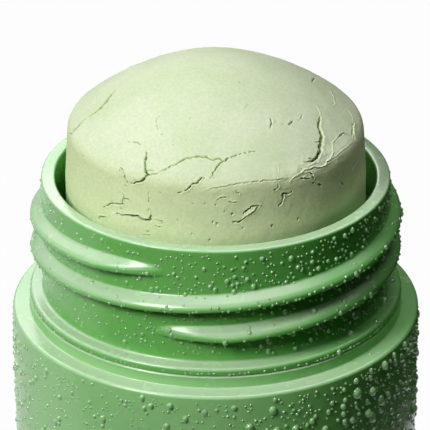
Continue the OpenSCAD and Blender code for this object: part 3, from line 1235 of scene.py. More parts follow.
class ClayPlug:
    """The domed plug of dried clay, cracked and chipped."""

    grid = 128
    fine_low_z = 62.5
    side_row = 0.27
    back_cracks = 17
    loose_pits = 46
    spur_from_depth = 0.55
    spur_chance = 0.16
    spur_reach = (0.25, 0.75)
    spur_width = 0.11
    torn_azimuth = -48.0
    torn_spread = 24.0
    waves = ((5.0, 0.045), (1.7, 0.03), (0.55, 0.014))

    def __init__(self, sizes: ClaySizes, view: CameraView, camera: bpy.types.Object) -> None:
        """Keeps the sizes and the view that the marks were read in.

        Args:
            sizes: Sizes of the plug.
            view: The photograph's view.
            camera: The camera that stands for it.
        """
        self.sizes = sizes
        self.view = view
        self.camera = camera
        self.dice = random.Random(41)

    def dome_z(self, radius: np.ndarray) -> np.ndarray:
        """Height of the dome.

        Args:
            radius: Distance from the axis.

        Returns:
            The dome's height there.
        """
        s = self.sizes
        return s.edge_z + s.dome_h * (1 - (radius / s.edge_r) ** s.dome_power)

    def cap_line(self) -> np.ndarray:
        """The dome's outline from its top over its rounded edge to the start of the side.

        Returns:
            Distance from the axis and height of each point.
        """
        s = self.sizes
        rs = np.linspace(0, s.edge_r - s.edge_round * 0.75, 120)
        dome = np.stack([rs, self.dome_z(rs)], axis=1)
        slope_end = dome[-1] - dome[-2]
        start, corner = dome[-1], np.array([s.edge_r, s.edge_z - 0.1])
        reach = s.edge_r - start[0]
        lead = start + slope_end / np.hypot(*slope_end) * reach * 0.75
        end = np.array([s.edge_r + 0.02, s.edge_z - s.edge_round * 0.95])
        t = np.linspace(0, 1, 24)[1:, None]
        bend = (1 - t) ** 3 * start + 3 * (1 - t) ** 2 * t * lead + 3 * (1 - t) * t**2 * corner + t**3 * end
        return np.concatenate([dome, bend])

    def side_radius(self, z: np.ndarray) -> np.ndarray:
        """Radius of the side at a height.

        Args:
            z: The height.

        Returns:
            The radius there.
        """
        s = self.sizes
        end_r, end_z = self.cap_line()[-1]
        return np.interp(z, [s.rim_z, end_z], [s.side_r, end_r])

    def base_form(self) -> bpy.types.Object:
        """Makes the plain plug: a grid rounded to a dome, the rest extruded from the grid's edge."""
        s = self.sizes
        rest_selection()
        bpy.ops.mesh.primitive_grid_add(x_subdivisions=self.grid, y_subdivisions=self.grid, size=2 * MM)
        plug = bpy.context.active_object
        plug.name = "clay_plug"
        plug.data.name = "clay_plug"
        points = read_points(plug)
        x, y = points[:, 0], points[:, 1]
        u, v = x * np.sqrt(1 - y**2 / 2), y * np.sqrt(1 - x**2 / 2)
        share = np.hypot(u, v)
        turn = np.arctan2(v, u)
        line = self.cap_line()
        steps = np.concatenate([[0], np.cumsum(np.hypot(*np.diff(line, axis=0).T))])
        along = share * steps[-1]
        radius = np.interp(along, steps, line[:, 0])
        z = np.interp(along, steps, line[:, 1])
        write_points(plug, np.stack([radius * np.cos(turn), radius * np.sin(turn), z], axis=1))
        bpy.ops.object.mode_set(mode="EDIT")
        bpy.ops.mesh.select_mode(type="VERT")
        bpy.ops.mesh.select_all(action="SELECT")
        bpy.ops.mesh.region_to_loop()
        top_r, top_z = line[-1]
        fine = [z for _, z in climb(0, top_z, self.fine_low_z, self.side_row)]
        stations = [(float(self.side_radius(np.array(z))), z) for z in fine]
        stations += [(s.side_r, z) for z in (self.fine_low_z, 60.5, 56.0, 50.0, 44.0, s.low_z + 0.4)]
        stations += [(s.side_r - 0.4, s.low_z), (s.pocket_r, s.low_z), (s.pocket_r, s.pocket_top)]
        stations += [(s.bore_r, s.pocket_top), (s.bore_r, 55.0), (s.bore_r, s.bore_top - 0.4)]
        stations += [(s.bore_r - 0.4, s.bore_top)]
        r0, z0 = top_r, top_z
        for r1, z1 in stations:
            bpy.ops.mesh.extrude_region_move(TRANSFORM_OT_translate={"value": (0, 0, (z1 - z0) * MM)})
            bpy.ops.transform.resize(value=(r1 / r0, r1 / r0, 1), center_override=(0, 0, 0))
            r0, z0 = r1, z1
        bpy.ops.mesh.extrude_region_move()
        bpy.ops.mesh.merge(type="CENTER")
        bpy.ops.mesh.select_all(action="SELECT")
        bpy.ops.mesh.normals_make_consistent(inside=False)
        bpy.ops.object.mode_set(mode="OBJECT")
        return plug

    def lay_route(self, tree: BVHTree, route: Sequence[Point2], wander: float = 0.075) -> np.ndarray:
        """Lays a route of pixels on the clay, with the small turns of a crack.

        Args:
            tree: The plain plug's surface.
            route: The route's pixels.
            wander: How far its points stray sideways, in millimetres.

        Returns:
            Points on the clay, in millimetres.
        """
        spots = []
        for (c0, r0), (c1, r1) in zip(route, route[1:]):
            count = max(1, round(math.hypot(c1 - c0, r1 - r0) / 2.2))
            for i in range(count):
                spots.append((c0 + (c1 - c0) * i / count, r0 + (r1 - r0) * i / count))
        spots.append(route[-1])
        laid = []
        for column, row in spots:
            hit, _, _, _ = tree.ray_cast(self.camera.location, self.view.ray(self.camera, column, row))
            if hit is None:
                continue
            stray = Vector([self.dice.uniform(-wander, wander) for _ in range(3)])
            laid.append(hit / MM + stray)
        return np.array([tuple(p) for p in laid])

    def lay_walk(
        self, tree: BVHTree, azimuth: float, share: float, heading: float, length: float
    ) -> np.ndarray:
        """Lays a wandering crack on the clay where the photograph doesn't look.

        Args:
            tree: The plain plug's surface.
            azimuth: Azimuth of its start, in degrees.
            share: Its start, from 0 at the dome's top to 1 at its edge and 2 at the rim.
            heading: Direction of its first step, in degrees, from straight outwards.
            length: Its length, in millimetres.

        Returns:
            Points on the clay, in millimetres.
        """
        s = self.sizes
        turn = math.radians(azimuth)
        radius = s.edge_r * min(share, 1.0)
        z = self.dome_z(np.array(radius)) if share < 1 else s.edge_z - (share - 1) * (s.edge_z - s.rim_z)
        spot = Vector((radius * math.cos(turn), radius * math.sin(turn), float(z)))
        out = Vector((math.cos(turn), math.sin(turn), -0.4))
        side = Vector((-math.sin(turn), math.cos(turn), 0))
        way = math.cos(math.radians(heading)) * out + math.sin(math.radians(heading)) * side
        step, points = 0.3, []
        for _ in range(round(length / step)):
            near, normal, _, _ = tree.find_nearest(spot * MM)
            points.append(near / MM)
            way = (way + Vector([self.dice.gauss(0, 0.28) for _ in range(3)])).normalized()
            way = (way - normal * way.dot(normal)).normalized()
            spot = near / MM + way * step
        return np.array([tuple(p) for p in points])

    def spurs(self, tree: BVHTree, points: np.ndarray, crack: Crack) -> list[Groove]:
        """Lays the short side cracks that run off a crack.

        Args:
            tree: The plain plug's surface.
            points: The crack's points on the clay.
            crack: The crack.

        Returns:
            The side cracks.
        """
        laid = []
        for i in range(2, len(points) - 1):
            if crack.depth < self.spur_from_depth or self.dice.random() > self.spur_chance:
                continue
            along = Vector(points[i + 1] - points[i - 1]).normalized()
            _, normal, _, _ = tree.find_nearest(Vector(points[i]) * MM)
            across = normal.cross(along) * self.dice.choice((-1, 1))
            way = (across + along * self.dice.uniform(-0.6, 1.2)).normalized()
            reach = self.dice.uniform(*self.spur_reach)
            middle = Vector(points[i]) + way * reach * 0.5 + along * self.dice.uniform(-0.06, 0.06)
            line = [Vector(points[i]), middle, Vector(points[i]) + way * reach]
            points_of_line = np.array([tuple(p) for p in line])
            laid.append(Groove(points_of_line, self.spur_width, crack.depth * 0.5, 0.01, crack.recess_shade * 0.8))
        return laid

    def grooves(self, tree: BVHTree) -> list[Groove]:
        """Lays every crack on the plug.

        Args:
            tree: The plain plug's surface.

        Returns:
            The cracks, those of the photograph first.
        """
        laid = []
        for crack in FRONT_CRACKS:
            points = self.lay_route(tree, crack.route)
            if len(points) > 1:
                laid.append(Groove(points, crack.width, crack.depth, crack.lip, crack.recess_shade))
                laid += self.spurs(tree, points, crack)
        first_back = len(laid)
        while len(laid) < first_back + self.back_cracks:
            azimuth = self.dice.uniform(5, 175)
            share = self.dice.choice((self.dice.uniform(0.6, 1.0), self.dice.uniform(1.0, 1.7)))
            heading, length = self.dice.uniform(-180, 180), self.dice.uniform(2, 9)
            points = self.lay_walk(tree, azimuth, share, heading, length)
            width = self.dice.uniform(0.1, 0.2)
            if not self.in_view(tree, points):
                laid.append(Groove(points, width, width * 3.2, 0.03, 0.85))
        return laid

    def in_view(self, tree: BVHTree, points: np.ndarray) -> bool:
        """Says whether the photograph's camera sees any of a crack.

        Args:
            tree: The plain plug's surface.
            points: The crack's points, in millimetres.

        Returns:
            True where it does.
        """
        for point in points:
            place, normal, _, _ = tree.find_nearest(Vector(point) * MM)
            to_camera = (self.camera.location - place).normalized()
            if normal.dot(to_camera) > -0.05:
                return True
        return False

    def holes(self, tree: BVHTree) -> list[tuple[np.ndarray, float, float]]:
        """Lays every pit on the plug.

        Args:
            tree: The plain plug's surface.

        Returns:
            Centre, radius and depth of each pit, in millimetres.
        """
        laid = []
        for pit in FRONT_PITS:
            hit, _, _, _ = tree.ray_cast(self.camera.location, self.view.ray(self.camera, *pit.place))
            if hit is not None:
                laid.append((np.array(hit) / MM, pit.radius, pit.depth))
        for _ in range(self.loose_pits):
            azimuth = self.dice.uniform(-180, 180)
            share = math.sqrt(self.dice.uniform(0.1, 3.2))
            spot = self.lay_walk(tree, azimuth, min(share, 1.8), 0, 0.31)[0]
            laid.append((spot, self.dice.uniform(0.07, 0.15), self.dice.uniform(0.05, 0.12)))
        return laid

    def crumble(self, points: np.ndarray) -> np.ndarray:
        """How crumbled the clay is at each point: most along the dome's edge at the front right.

        Args:
            points: Points of the plug, in millimetres.

        Returns:
            A share from 0 to 1 for each point.
        """
        s = self.sizes
        azimuth = np.degrees(np.arctan2(points[:, 1], points[:, 0]))
        along = np.clip(1 - np.abs(azimuth - self.torn_azimuth) / self.torn_spread, 0, 1)
        level = np.abs(points[:, 2] - (s.edge_z + 0.15))
        return np.clip(along * 2, 0, 1) * np.clip(1.1 - level / 1.1, 0, 1)

    def refine(self, plug: bpy.types.Object, near: Callable[[np.ndarray], np.ndarray]) -> None:
        """Divides the faces whose middles lie near a mark.

        Args:
            plug: The plug.
            near: Says for points, in millimetres, which of them lie near a mark.
        """
        mesh = plug.data
        count = len(mesh.polygons)
        middles = np.empty(count * 3)
        mesh.polygons.foreach_get("center", middles)
        chosen = near(middles.reshape(-1, 3) / MM)
        take(plug)
        mesh.vertices.foreach_set("select", np.zeros(len(mesh.vertices), bool))
        mesh.edges.foreach_set("select", np.zeros(len(mesh.edges), bool))
        mesh.polygons.foreach_set("select", chosen)
        bpy.ops.object.mode_set(mode="EDIT")
        bpy.ops.mesh.select_mode(type="FACE")
        bpy.ops.mesh.subdivide(number_cuts=1, quadcorner="INNERVERT", ngon=False)
        bpy.ops.object.mode_set(mode="OBJECT")

    @staticmethod
    def reach_of(points: np.ndarray, groove: Groove) -> tuple[np.ndarray, np.ndarray, np.ndarray]:
        """Distance of points from a crack.

        Args:
            points: The points, in millimetres.
            groove: The crack.

        Returns:
            For each point, its distance, the share of the crack's length at which it is nearest, and on
            which side of the crack it lies.
        """
        starts, ends = groove.points[:-1], groove.points[1:]
        spans = ends - starts
        lengths = np.maximum((spans**2).sum(1), 1e-9)
        offset = points[:, None, :] - starts[None]
        along = np.clip((offset * spans[None]).sum(2) / lengths[None], 0, 1)
        nearest = starts[None] + along[..., None] * spans[None]
        gaps = np.linalg.norm(points[:, None, :] - nearest, axis=2)
        index = gaps.argmin(1)
        rows = np.arange(len(points))
        outward = points * np.array([1.0, 1.0, 0.0]) + np.array([0, 0, 8.0])
        side = np.sign((np.cross(spans[index], points - nearest[rows, index]) * outward).sum(1))
        share = (index + along[rows, index]) / len(spans)
        return gaps[rows, index], share, side

    def carve(self, plug: bpy.types.Object, grooves: list[Groove], holes: list[tuple]) -> None:
        """Moves the plug's vertices into its cracks, pits and crumbled edge.

        Args:
            plug: The plug.
            grooves: Its cracks.
            holes: Its pits.
        """
        s = self.sizes
        points = read_points(plug)
        radius = np.hypot(points[:, 0], points[:, 1])
        beyond_bore = radius > s.bore_r * (points[:, 2] < s.bore_top + 0.1) + 0.01
        outside = (points[:, 2] > self.fine_low_z - 0.1) & beyond_bore
        outside &= ~((radius < s.bore_r + 0.01) & (points[:, 2] < s.bore_top + 0.01))
        on_dome = outside & (radius < s.edge_r - s.edge_round * 0.75) & (points[:, 2] > s.bore_top + 0.2)
        points[on_dome, 2] = self.dome_z(radius[on_dome])
        write_points(plug, points)
        normals = np.empty(len(points) * 3)
        plug.data.vertex_normals.foreach_get("vector", normals)
        normals = normals.reshape(-1, 3)
        move = np.zeros(len(points))
        # painted shade inside cracks and pits, kept as the crack attribute
        recess_shade = np.zeros(len(points))
        crumb = np.zeros(len(points))
        index = np.nonzero(outside)[0]
        crumbled = self.crumble(points)
        fade = np.clip((points[:, 2] - self.fine_low_z) / 2, 0, 1)
        for i in index:
            p = Vector(points[i])
            move[i] += sum(height * noise.noise(p / width) for width, height in self.waves)
            if crumbled[i] > 0:
                cell = noise.voronoi(p / 0.75)[0]
                chunk = noise.cell(p / 0.75 + Vector((3, 1, 7)))
                torn = 0.5 * noise.noise(p / 0.9) + 0.3 * noise.noise(p / 0.3)
                move[i] -= crumbled[i] * (0.03 + 0.05 * abs(chunk) + 0.06 * min(cell[0], 0.6) + 0.09 * torn)
                crumb[i] = crumbled[i] * 0.4
        move *= fade
        for groove in grooves:
            low = groove.points.min(0) - 1.0
            high = groove.points.max(0) + 1.0
            inside = outside & ((points > low) & (points < high)).all(1)
            rows = np.nonzero(inside)[0]
            if not len(rows):
                continue
            gap, share, side = self.reach_of(points[rows], groove)
            taper = 0.3 + 0.7 * np.sqrt(np.clip(np.sin(np.pi * np.clip(share, 0.02, 0.98)), 0, 1))
            spots = [Vector(points[i]) for i in rows]
            ripple = np.array([1 + 0.4 * noise.noise(p / 0.9) + 0.5 * noise.noise(p / 0.28) for p in spots])
            half = np.maximum(0.6 * groove.width * taper * ripple, 0.06)
            cut = np.clip(1 - gap / half, 0, 1)
            rim = np.exp(-(((gap - 1.9 * half) / (0.9 * half)) ** 2)) * np.where(side > 0, 1.0, 0.25)
            move[rows] += groove.lip * taper * rim * (cut <= 0)
            carved = np.minimum(move[rows], -groove.depth * taper * cut**0.75)
            move[rows] = np.where(cut > 0, carved, move[rows])
            recess_shade[rows] = np.maximum(recess_shade[rows], groove.recess_shade * np.clip(cut * 1.8, 0, 1))
        # pits are painted darker inside too, as painted shade
        for centre, size, depth in holes:
            gap = np.linalg.norm(points - centre, axis=1)
            rows = np.nonzero((gap < size) & outside)[0]
            cut = 1 - (gap[rows] / size) ** 2
            move[rows] -= depth * cut
            recess_shade[rows] = np.maximum(recess_shade[rows], 0.4 * cut)
        points += normals * move[:, None]
        write_points(plug, points)
        for name, values in (("crack", recess_shade), ("crumb", crumb)):
            attribute = plug.data.attributes.new(name, "FLOAT", "POINT")
            attribute.data.foreach_set("value", values.astype(np.float32))

    def build(self) -> bpy.types.Object:
        """Makes the cracked plug."""
        plug = self.base_form()
        bpy.context.view_layer.update()
        tree = BVHTree.FromObject(plug, bpy.context.evaluated_depsgraph_get())
        grooves = self.grooves(tree)
        holes = self.holes(tree)

        def near_marks(reach: float) -> Callable[[np.ndarray], np.ndarray]:
            def near(points: np.ndarray) -> np.ndarray:
                found = np.zeros(len(points), bool)
                for groove in grooves:
                    low, high = groove.points.min(0) - 1.0, groove.points.max(0) + 1.0
                    rows = np.nonzero(((points > low) & (points < high)).all(1))[0]
                    if len(rows):
                        gap, _, _ = self.reach_of(points[rows], groove)
                        found[rows[gap < groove.width * 1.5 + reach]] = True
                for centre, size, _ in holes:
                    found |= np.linalg.norm(points - centre, axis=1) < size + reach
                found |= self.crumble(points) > 0.02
                return found & (points[:, 2] > self.fine_low_z)

            return near

        for reach in (0.28, 0.1):
            self.refine(plug, near_marks(reach))
        self.carve(plug, grooves, holes)
        smooth(plug, 180)
        return plug


# Water


@dataclass(frozen=True)
class Drop:
    """A drop of water: where it sits and its size in millimetres."""

    place: Vector
    normal: Vector
    radius: float
    height: float
    stretch: float


@dataclass(frozen=True)
class Splash:
    """A drop that the photograph shows: its pixel, and its radius in millimetres."""

    column: float
    row: float
    radius: float = 0.16


FRONT_DROPS: tuple[Splash, ...] = tuple(
    Splash(*row)
    for row in (
        (312, 262, 0.24), (336, 259, 0.24), (298, 267, 0.24), (356, 274, 0.24), (355, 314, 0.5),
        (351, 333, 0.42), (269, 340, 0.36), (293, 333, 0.34), (285, 311, 0.28), (339, 352, 0.28),
        (125, 341, 0.28), (384, 365, 0.45), (356, 381, 0.34), (371, 371, 0.26), (357, 393, 0.52),
        (372, 391, 0.46), (368, 413, 0.45), (332, 403, 0.26), (345, 400, 0.26), (312, 421, 0.3),
        (352, 420, 0.34), (338, 420, 0.2), (144, 408, 0.26), (185, 419, 0.3), (125, 405, 0.2),
        (383, 259, 0.4), (368, 277, 0.36), (385, 300, 0.38), (376, 322, 0.3), (392, 281, 0.3),
        (272, 272), (257, 281), (243, 277), (346, 277), (315, 292), (324, 288), (260, 306), (240, 309),
        (337, 310), (356, 304), (285, 368), (328, 356), (370, 354), (325, 395), (303, 400), (290, 406),
        (284, 412), (67, 296), (59, 300), (79, 319), (99, 323), (75, 310), (118, 317), (128, 313),
        (146, 316), (147, 328), (184, 353), (46, 361), (59, 386), (73, 385), (92, 384), (102, 396),
        (54, 391), (168, 412), (27, 402), (96, 421),
    )
)


class Water:
    """Drops of water on the plastic."""

    sink = 0.012
    large_from = 0.2
    # the side, in each drop's own frame, that gets the painted crescent highlight
    far_side = (-0.45, 0.89)
    upward_share = 0.25
    bulges = (0.7, 0.95)
    stretches = (0.95, 1.3)
    least_gap = 0.04
    wettest_azimuth = -40.0
    neck_tries = 4200
    collar_tries = 300
    body_bands = ((42.0, None, 4600), (20.0, 42.0, 2600))
    smallest = 0.115

    def __init__(self, container: Container, view: CameraView, camera: bpy.types.Object) -> None:
        """Keeps the container that the drops sit on, and the view that some were read in.

        Args:
            container: The container.
            view: The photograph's view.
            camera: The camera that stands for it.
        """
        self.container = container
        self.view = view
        self.camera = camera
        self.dice = random.Random(7)
        self.taken = np.empty((0, 4))

    @staticmethod
    def model_drop(sides: int, rings: int) -> tuple[np.ndarray, list[tuple[int, ...]]]:
        """Models one drop of radius 1, flat where it sits.

        Args:
            sides: Number of its faces round.
            rings: Number of its rings of faces.

        Returns:
            Its points and its faces.
        """
        rest_selection()
        bpy.ops.mesh.primitive_uv_sphere_add(segments=sides, ring_count=rings * 2, radius=1)
        drop = bpy.context.active_object
        bpy.ops.object.mode_set(mode="EDIT")
        bpy.ops.mesh.select_all(action="SELECT")
        bpy.ops.mesh.bisect(plane_co=(0, 0, 0), plane_no=(0, 0, 1), use_fill=True, clear_inner=True)
        bpy.ops.mesh.select_all(action="SELECT")
        bpy.ops.mesh.normals_make_consistent(inside=False)
        bpy.ops.object.mode_set(mode="OBJECT")
        points = np.array([tuple(v.co) for v in drop.data.vertices])
        faces = [tuple(p.vertices) for p in drop.data.polygons]
        bpy.data.objects.remove(drop)
        return points, faces

    def gather(self, name: str, drops: list[Drop]) -> bpy.types.Object:
        """Copies the one drop to every place and joins the copies.

        Args:
            name: Name of the piece.
            drops: The drops.

        Returns:
            The piece.
        """
        small, large = self.model_drop(8, 2), self.model_drop(12, 4)
        all_points: list[np.ndarray] = []
        painted_lights: list[np.ndarray] = []
        all_faces: list[tuple[int, ...]] = []
        first = 0
        for drop in drops:
            shape, faces = large if drop.radius > self.large_from else small
            up = drop.normal.normalized()
            side = up.cross(Vector((0, 0, 1)))
            side = side.normalized() if side.length > 1e-3 else Vector((1, 0, 0))
            down = up.cross(side).normalized()
            if down.z > 0:
                down, side = -down, -side
            sag = 1 + 0.25 * shape[:, 2]
            local = np.stack(
                [
                    shape[:, 0] * drop.radius,
                    shape[:, 1] * drop.radius * drop.stretch * np.where(shape[:, 1] > 0, sag, 1.0),
                    shape[:, 2] * (drop.height + self.sink) - self.sink,
                ],
                axis=1,
            )
            frame = np.array([tuple(side), tuple(down), tuple(up)])
            all_points.append(local @ frame + np.array(tuple(drop.place)))
            all_faces += [tuple(first + i for i in face) for face in faces]
            first += len(shape)
            # painted light: each point's share towards the painted crescent, negative towards the painted
            # shade of the near edge
            towards = shape[:, 0] * self.far_side[0] + shape[:, 1] * self.far_side[1]
            painted_lights.append(towards * np.hypot(shape[:, 0], shape[:, 1]))
        mesh = bpy.data.meshes.new(name)
        mesh.from_pydata((np.concatenate(all_points) * MM).tolist(), [], all_faces)
        attribute = mesh.attributes.new("painted_light", "FLOAT", "POINT")
        attribute.data.foreach_set("value", np.concatenate(painted_lights).astype(np.float32))
        mesh.update()
        piece = bpy.data.objects.new(name, mesh)
        bpy.context.scene.collection.objects.link(piece)
        take(piece)
        bpy.ops.object.mode_set(mode="EDIT")
        bpy.ops.mesh.select_all(action="SELECT")
        bpy.ops.mesh.normals_make_consistent(inside=False)
        bpy.ops.object.mode_set(mode="OBJECT")
        smooth(piece, 60)
        return piece

    def wetness(self, azimuth: float) -> float:
        """How densely drops lie: most at the front right.

        Args:
            azimuth: Azimuth, in degrees.

        Returns:
            A share from 0 to 1.
        """
        from_wettest = abs((azimuth - self.wettest_azimuth + 180) % 360 - 180)
        return max(0.4, 1 - from_wettest / 150)

    def room(self, place: Vector) -> float:
        """How high a drop may stand without leaving the object's box.

        Args:
            place: Where the drop sits, in millimetres.

        Returns:
            The height, in millimetres.
        """
        radius = math.hypot(place.x, place.y)
        reach = max(abs(place.x), abs(place.y)) / radius
        return self.container.sizes.box_r / reach - radius

    def add(self, drops: list[Drop], place: Vector, normal: Vector, radius: float) -> None:
        """Adds a drop, unless it would touch another.

        Args:
            drops: The drops so far.
            place: Where it sits, in millimetres.
            normal: The plastic's outward direction there.
            radius: Its radius.
        """
        bulge, stretch = self.dice.uniform(*self.bulges), self.dice.uniform(*self.stretches)
        spot = np.array([[*place, radius]])
        if len(self.taken):
            gaps = np.linalg.norm(self.taken[:, :3] - spot[:, :3], axis=1) - self.taken[:, 3] - radius
            if gaps.min() < self.least_gap:
                return
        self.taken = np.vstack([self.taken, spot])
        height = min(bulge * radius, self.room(place))
        drops.append(Drop(place, normal, radius, height, stretch if radius > self.large_from else 1.0))

    def place_seen(self, trees: Sequence[BVHTree]) -> tuple[list[Drop], list[Drop]]:
        """Places the drops that were read from the photograph.

        Args:
            trees: The surfaces of the neck and of the body.

        Returns:
            The drops on the neck and those on the body.
        """
        neck: list[Drop] = []
        body: list[Drop] = []
        for splash in FRONT_DROPS:
            aim = self.view.ray(self.camera, splash.column, splash.row)
            hits = [tree.ray_cast(self.camera.location, aim) for tree in trees]
            reached = [hit[3] if hit[0] is not None else math.inf for hit in hits]
            nearest = reached.index(min(reached))
            if math.isinf(reached[nearest]):
                continue
            place, normal = hits[nearest][0] / MM, hits[nearest][1]
            self.add((neck, body)[nearest], place, normal, splash.radius)
        return neck, body

    def scatter(self, low: float, high: float, tries: int, largest: float) -> list[Drop]:
        """Scatters drops between two heights, with none closer than their own size.

        Args:
            low: Lowest height.
            high: Highest height.
            tries: How many places are tried.
            largest: Radius of the largest drop.

        Returns:
            The drops.
        """
        drops: list[Drop] = []
        for _ in range(tries):
            azimuth = self.dice.uniform(-180, 180)
            z = self.dice.uniform(low, high)
            wet = self.wetness(azimuth)
            chance, size = self.dice.random(), self.dice.random()
            if chance > wet:
                continue
            radius = self.smallest + (largest - self.smallest) * size**4 * (0.35 + 0.65 * wet)
            place, normal = self.container.outer_surface(azimuth, z)
            if normal.z < 0.3 or chance < self.upward_share * wet:
                self.add(drops, place, normal, radius)
        return drops

    def hang(self, count: int) -> list[Drop]:
        """Hangs drops along the lower edges of the ridges.

        Args:
            count: How many places are tried on each ridge.

        Returns:
            The drops.
        """
        drops: list[Drop] = []
        thread = self.container.thread
        for start in range(thread.starts):
            for _ in range(count):
                along = self.dice.uniform(thread.fade, 360 - thread.fade)
                azimuth = thread.azimuth + 360 * start / thread.starts + along
                chance = self.dice.random()
                below = self.dice.uniform(0.42, 0.72) * thread.width / 2
                z = thread.low_z + thread.lead * along / 360 - below
                radius = self.dice.uniform(self.smallest, 0.17)
                if chance < self.wetness(azimuth):
                    place, normal = self.container.outer_surface(azimuth, z)
                    self.add(drops, place, normal, radius)
        return drops

    def build(self, parts: Sequence[bpy.types.Object]) -> list[bpy.types.Object]:
        """Makes the drops on the neck and on the body.

        Args:
            parts: The neck and the body wall.

        Returns:
            The two pieces of drops.
        """
        sizes = self.container.sizes
        graph = bpy.context.evaluated_depsgraph_get()
        neck, body = self.place_seen([BVHTree.FromObject(part, graph) for part in parts])
        neck += self.hang(150)
        neck += self.scatter(sizes.collar_top + 0.6, sizes.rim_z - 0.5, self.neck_tries, 0.3)
        neck += self.scatter(sizes.seam_z + 0.2, sizes.collar_top - 0.45, self.collar_tries, 0.16)
        for low, high, tries in self.body_bands:
            body += self.scatter(low, high or sizes.shoulder_z - 0.7, tries, 0.5)
        return [self.gather("water_on_neck", neck), self.gather("water_on_body", body)]


# The studio


@dataclass(frozen=True)
class Lamp:
    """A soft lamp, in metres and watts."""

    name: str
    azimuth: float
    elevation: float
    distance: float
    width: float
    power: float
    gloss_only: bool = False

    def make(self, target: Vector) -> None:
        """Adds the lamp, aimed at a point.

        Args:
            target: The point.
        """
        turn, lift = math.radians(self.azimuth), math.radians(self.elevation)
        out = Vector((math.cos(turn) * math.cos(lift), math.sin(turn) * math.cos(lift), math.sin(lift)))
        place = target + out * self.distance
        rest_selection()
        turned = out.to_track_quat("Z", "Y").to_euler()
        bpy.ops.object.light_add(type="AREA", location=place, rotation=turned)
        lamp = bpy.context.active_object
        lamp.name = self.name
        lamp.data.shape = "DISK"
        lamp.data.size = self.width
        lamp.data.energy = self.power
        lamp.visible_diffuse = not self.gloss_only


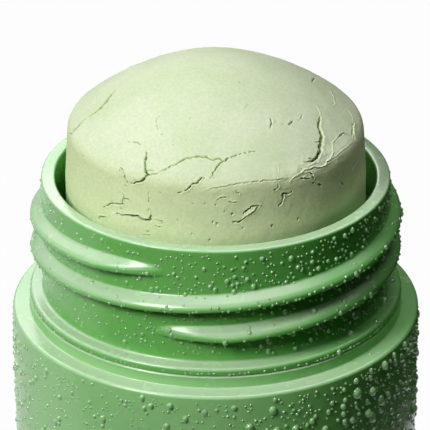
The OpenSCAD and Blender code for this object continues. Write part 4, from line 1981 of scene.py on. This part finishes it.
class Studio:
    """The pale floor, the soft lamps, the dim cards and the white surroundings, in metres and degrees."""

    lamps = (
        Lamp("key_lamp", 224, 42, 0.6, 0.25, 3.35),
        Lamp("top_lamp", 0, 82, 0.7, 0.5, 1.8),
        Lamp("sheen_panel", 90, 50, 0.6, 1.0, 9.0, gloss_only=True),
    )
    aim_z_mm = 60.0
    fill = 0.06
    fill_colour = "#E6FFB8"
    floor_r = 4.0
    floor_colour = "#4E5348"
    floor_white = 0.98
    card_colour = "#2C3A1E"
    floor_card_side = 0.34
    floor_card_place = (0.0, -0.2, 0.0004)
    side_card_r = 0.08
    side_card_depth = 0.13
    side_card_z = 0.064
    side_card_reach = (-65, 78)

    def white_share(self, tree: bpy.types.NodeTree) -> bpy.types.NodeSocket:
        """Adds nodes that pick out the rays that see the background: the camera's, gloss's and glass's.

        Args:
            tree: The material's or the world's node tree.

        Returns:
            1 for such rays and 0 for others.
        """
        path = add_node(tree, "ShaderNodeLightPath")
        pair = combine(tree, "MAXIMUM", path.outputs["Is Camera Ray"], path.outputs["Is Glossy Ray"])
        return combine(tree, "MAXIMUM", pair, path.outputs["Is Transmission Ray"])

    def make_floor(self) -> None:
        """Adds the floor, which shows white and keeps a faint shadow of the object."""
        rest_selection()
        bpy.ops.mesh.primitive_circle_add(
            vertices=96, radius=self.floor_r, fill_type="NGON", location=(0, 0, -0.02 * MM)
        )
        floor = bpy.context.active_object
        floor.name = "studio_floor"
        material, tree = new_material("pale_floor")
        paper = add_node(tree, "ShaderNodeBsdfDiffuse", None, {"Color": linear(self.floor_colour)})
        white = add_node(tree, "ShaderNodeEmission", None, {"Color": (1, 1, 1, 1), "Strength": 1.0})
        share = combine(tree, "MULTIPLY", self.white_share(tree), self.floor_white)
        shaders = {0: share, 1: paper.outputs["BSDF"], 2: white.outputs["Emission"]}
        mixed = add_node(tree, "ShaderNodeMixShader", None, shaders)
        show(tree, mixed.outputs["Shader"])
        floor.data.materials.append(material)

    def make_cards(self) -> None:
        """Adds the dim cards that keep the white surroundings out of the gloss of the front and the right.

        One lies on the floor in front and one stands round the right side. The camera doesn't see them, and
        they stay clear of the object.
        """
        material, tree = new_material("dim_card")
        cloth = add_node(tree, "ShaderNodeBsdfDiffuse", None, {"Color": linear(self.card_colour)})
        show(tree, cloth.outputs["BSDF"])
        rest_selection()
        bpy.ops.mesh.primitive_plane_add(size=self.floor_card_side, location=self.floor_card_place)
        floor_card = bpy.context.active_object
        floor_card.name = "studio_floor_card"
        rest_selection()
        bpy.ops.mesh.primitive_cylinder_add(
            vertices=72,
            radius=self.side_card_r,
            depth=self.side_card_depth,
            end_fill_type="NOTHING",
            location=(0, 0, self.side_card_z),
        )
        side_card = bpy.context.active_object
        side_card.name = "studio_side_card"
        faces = side_card.data.polygons
        azimuths = [math.degrees(math.atan2(face.center.y, face.center.x)) for face in faces]
        first, last = self.side_card_reach
        faces.foreach_set("select", [not first < azimuth < last for azimuth in azimuths])
        bpy.ops.object.mode_set(mode="EDIT")
        bpy.ops.mesh.select_mode(type="FACE")
        bpy.ops.mesh.delete(type="FACE")
        bpy.ops.object.mode_set(mode="OBJECT")
        for card in (floor_card, side_card):
            card.data.materials.append(material)
            card.visible_camera = False

    def make_world(self) -> None:
        """Sets surroundings that show white and give a weak even fill."""
        world = bpy.data.worlds.new("studio_world")
        world.use_nodes = True
        bpy.context.scene.world = world
        tree = world.node_tree
        tree.nodes.clear()
        fill = {"Color": linear(self.fill_colour), "Strength": self.fill}
        dim = add_node(tree, "ShaderNodeBackground", None, fill)
        white = add_node(tree, "ShaderNodeBackground", None, {"Color": (1, 1, 1, 1), "Strength": 1.0})
        share = self.white_share(tree)
        shaders = {0: share, 1: dim.outputs["Background"], 2: white.outputs["Background"]}
        mixed = add_node(tree, "ShaderNodeMixShader", None, shaders)
        add_node(tree, "ShaderNodeOutputWorld", None, {"Surface": mixed.outputs["Shader"]})

    def make(self) -> None:
        """Builds the studio."""
        self.make_floor()
        self.make_cards()
        self.make_world()
        for lamp in self.lamps:
            lamp.make(Vector((0, 0, self.aim_z_mm * MM)))
        bpy.context.scene.view_settings.view_transform = "Standard"


def main() -> None:
    """Builds the whole stick round its frame."""
    logging.basicConfig(level=logging.INFO, format="%(name)s: %(message)s")
    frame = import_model()
    view = CameraView()
    camera = view.make()

    green = MouldedPolypropylene("moulded_green_polypropylene", "#98CD8A", "#6DBA5B")
    container = Container(ContainerSizes(), CapThread())
    shell = container.build_shell()
    finish_piece(shell, green.build(), Body.CONTAINER, ["outer_shell"])
    neck_finish = MouldedPolypropylene(
        "moulded_green_polypropylene_neck",
        "#73BA61",
        "#55AC43",
        # painted sheen on the neck: strongest towards -120 degrees and on the rim's right above 65.2 mm
        sheen_azimuth=-120.0,
        sheen_reach=(0.35, 0.8),
        sheen_rim_above_mm=65.2,
    )
    neck = container.build_neck()
    finish_piece(neck, neck_finish.build(), Body.CONTAINER, ["inner_tube"])
    dial_finish = MouldedPolypropylene(
        "moulded_green_polypropylene_dial", "#73B361", "#5BA749", roughness=0.34
    )
    finish_piece(Dial(DialSizes()).build(), dial_finish.build(), Body.DIAL, ["base_dial"])
    plug = ClayPlug(ClaySizes(), view, camera).build()
    finish_piece(plug, DryGreenClay().build(), Body.STICK, ["clay_stick"])
    water_finish = ClearWater().build()
    for drops in Water(container, view, camera).build([neck, shell]):
        finish_piece(drops, water_finish, Body.CONTAINER)

    inner_finish = MouldedPolypropylene(
        "moulded_pale_polypropylene", "#93C487", "#7FB872", roughness=0.42
    )
    for node, finish in (("carrier", inner_finish), ("lead_screw", NaturalPolyacetal())):
        mesh = frame["nodes"][node].data
        mesh.materials.clear()
        mesh.materials.append(finish.build())
    Studio().make()


if __name__ == "__main__":
    main()
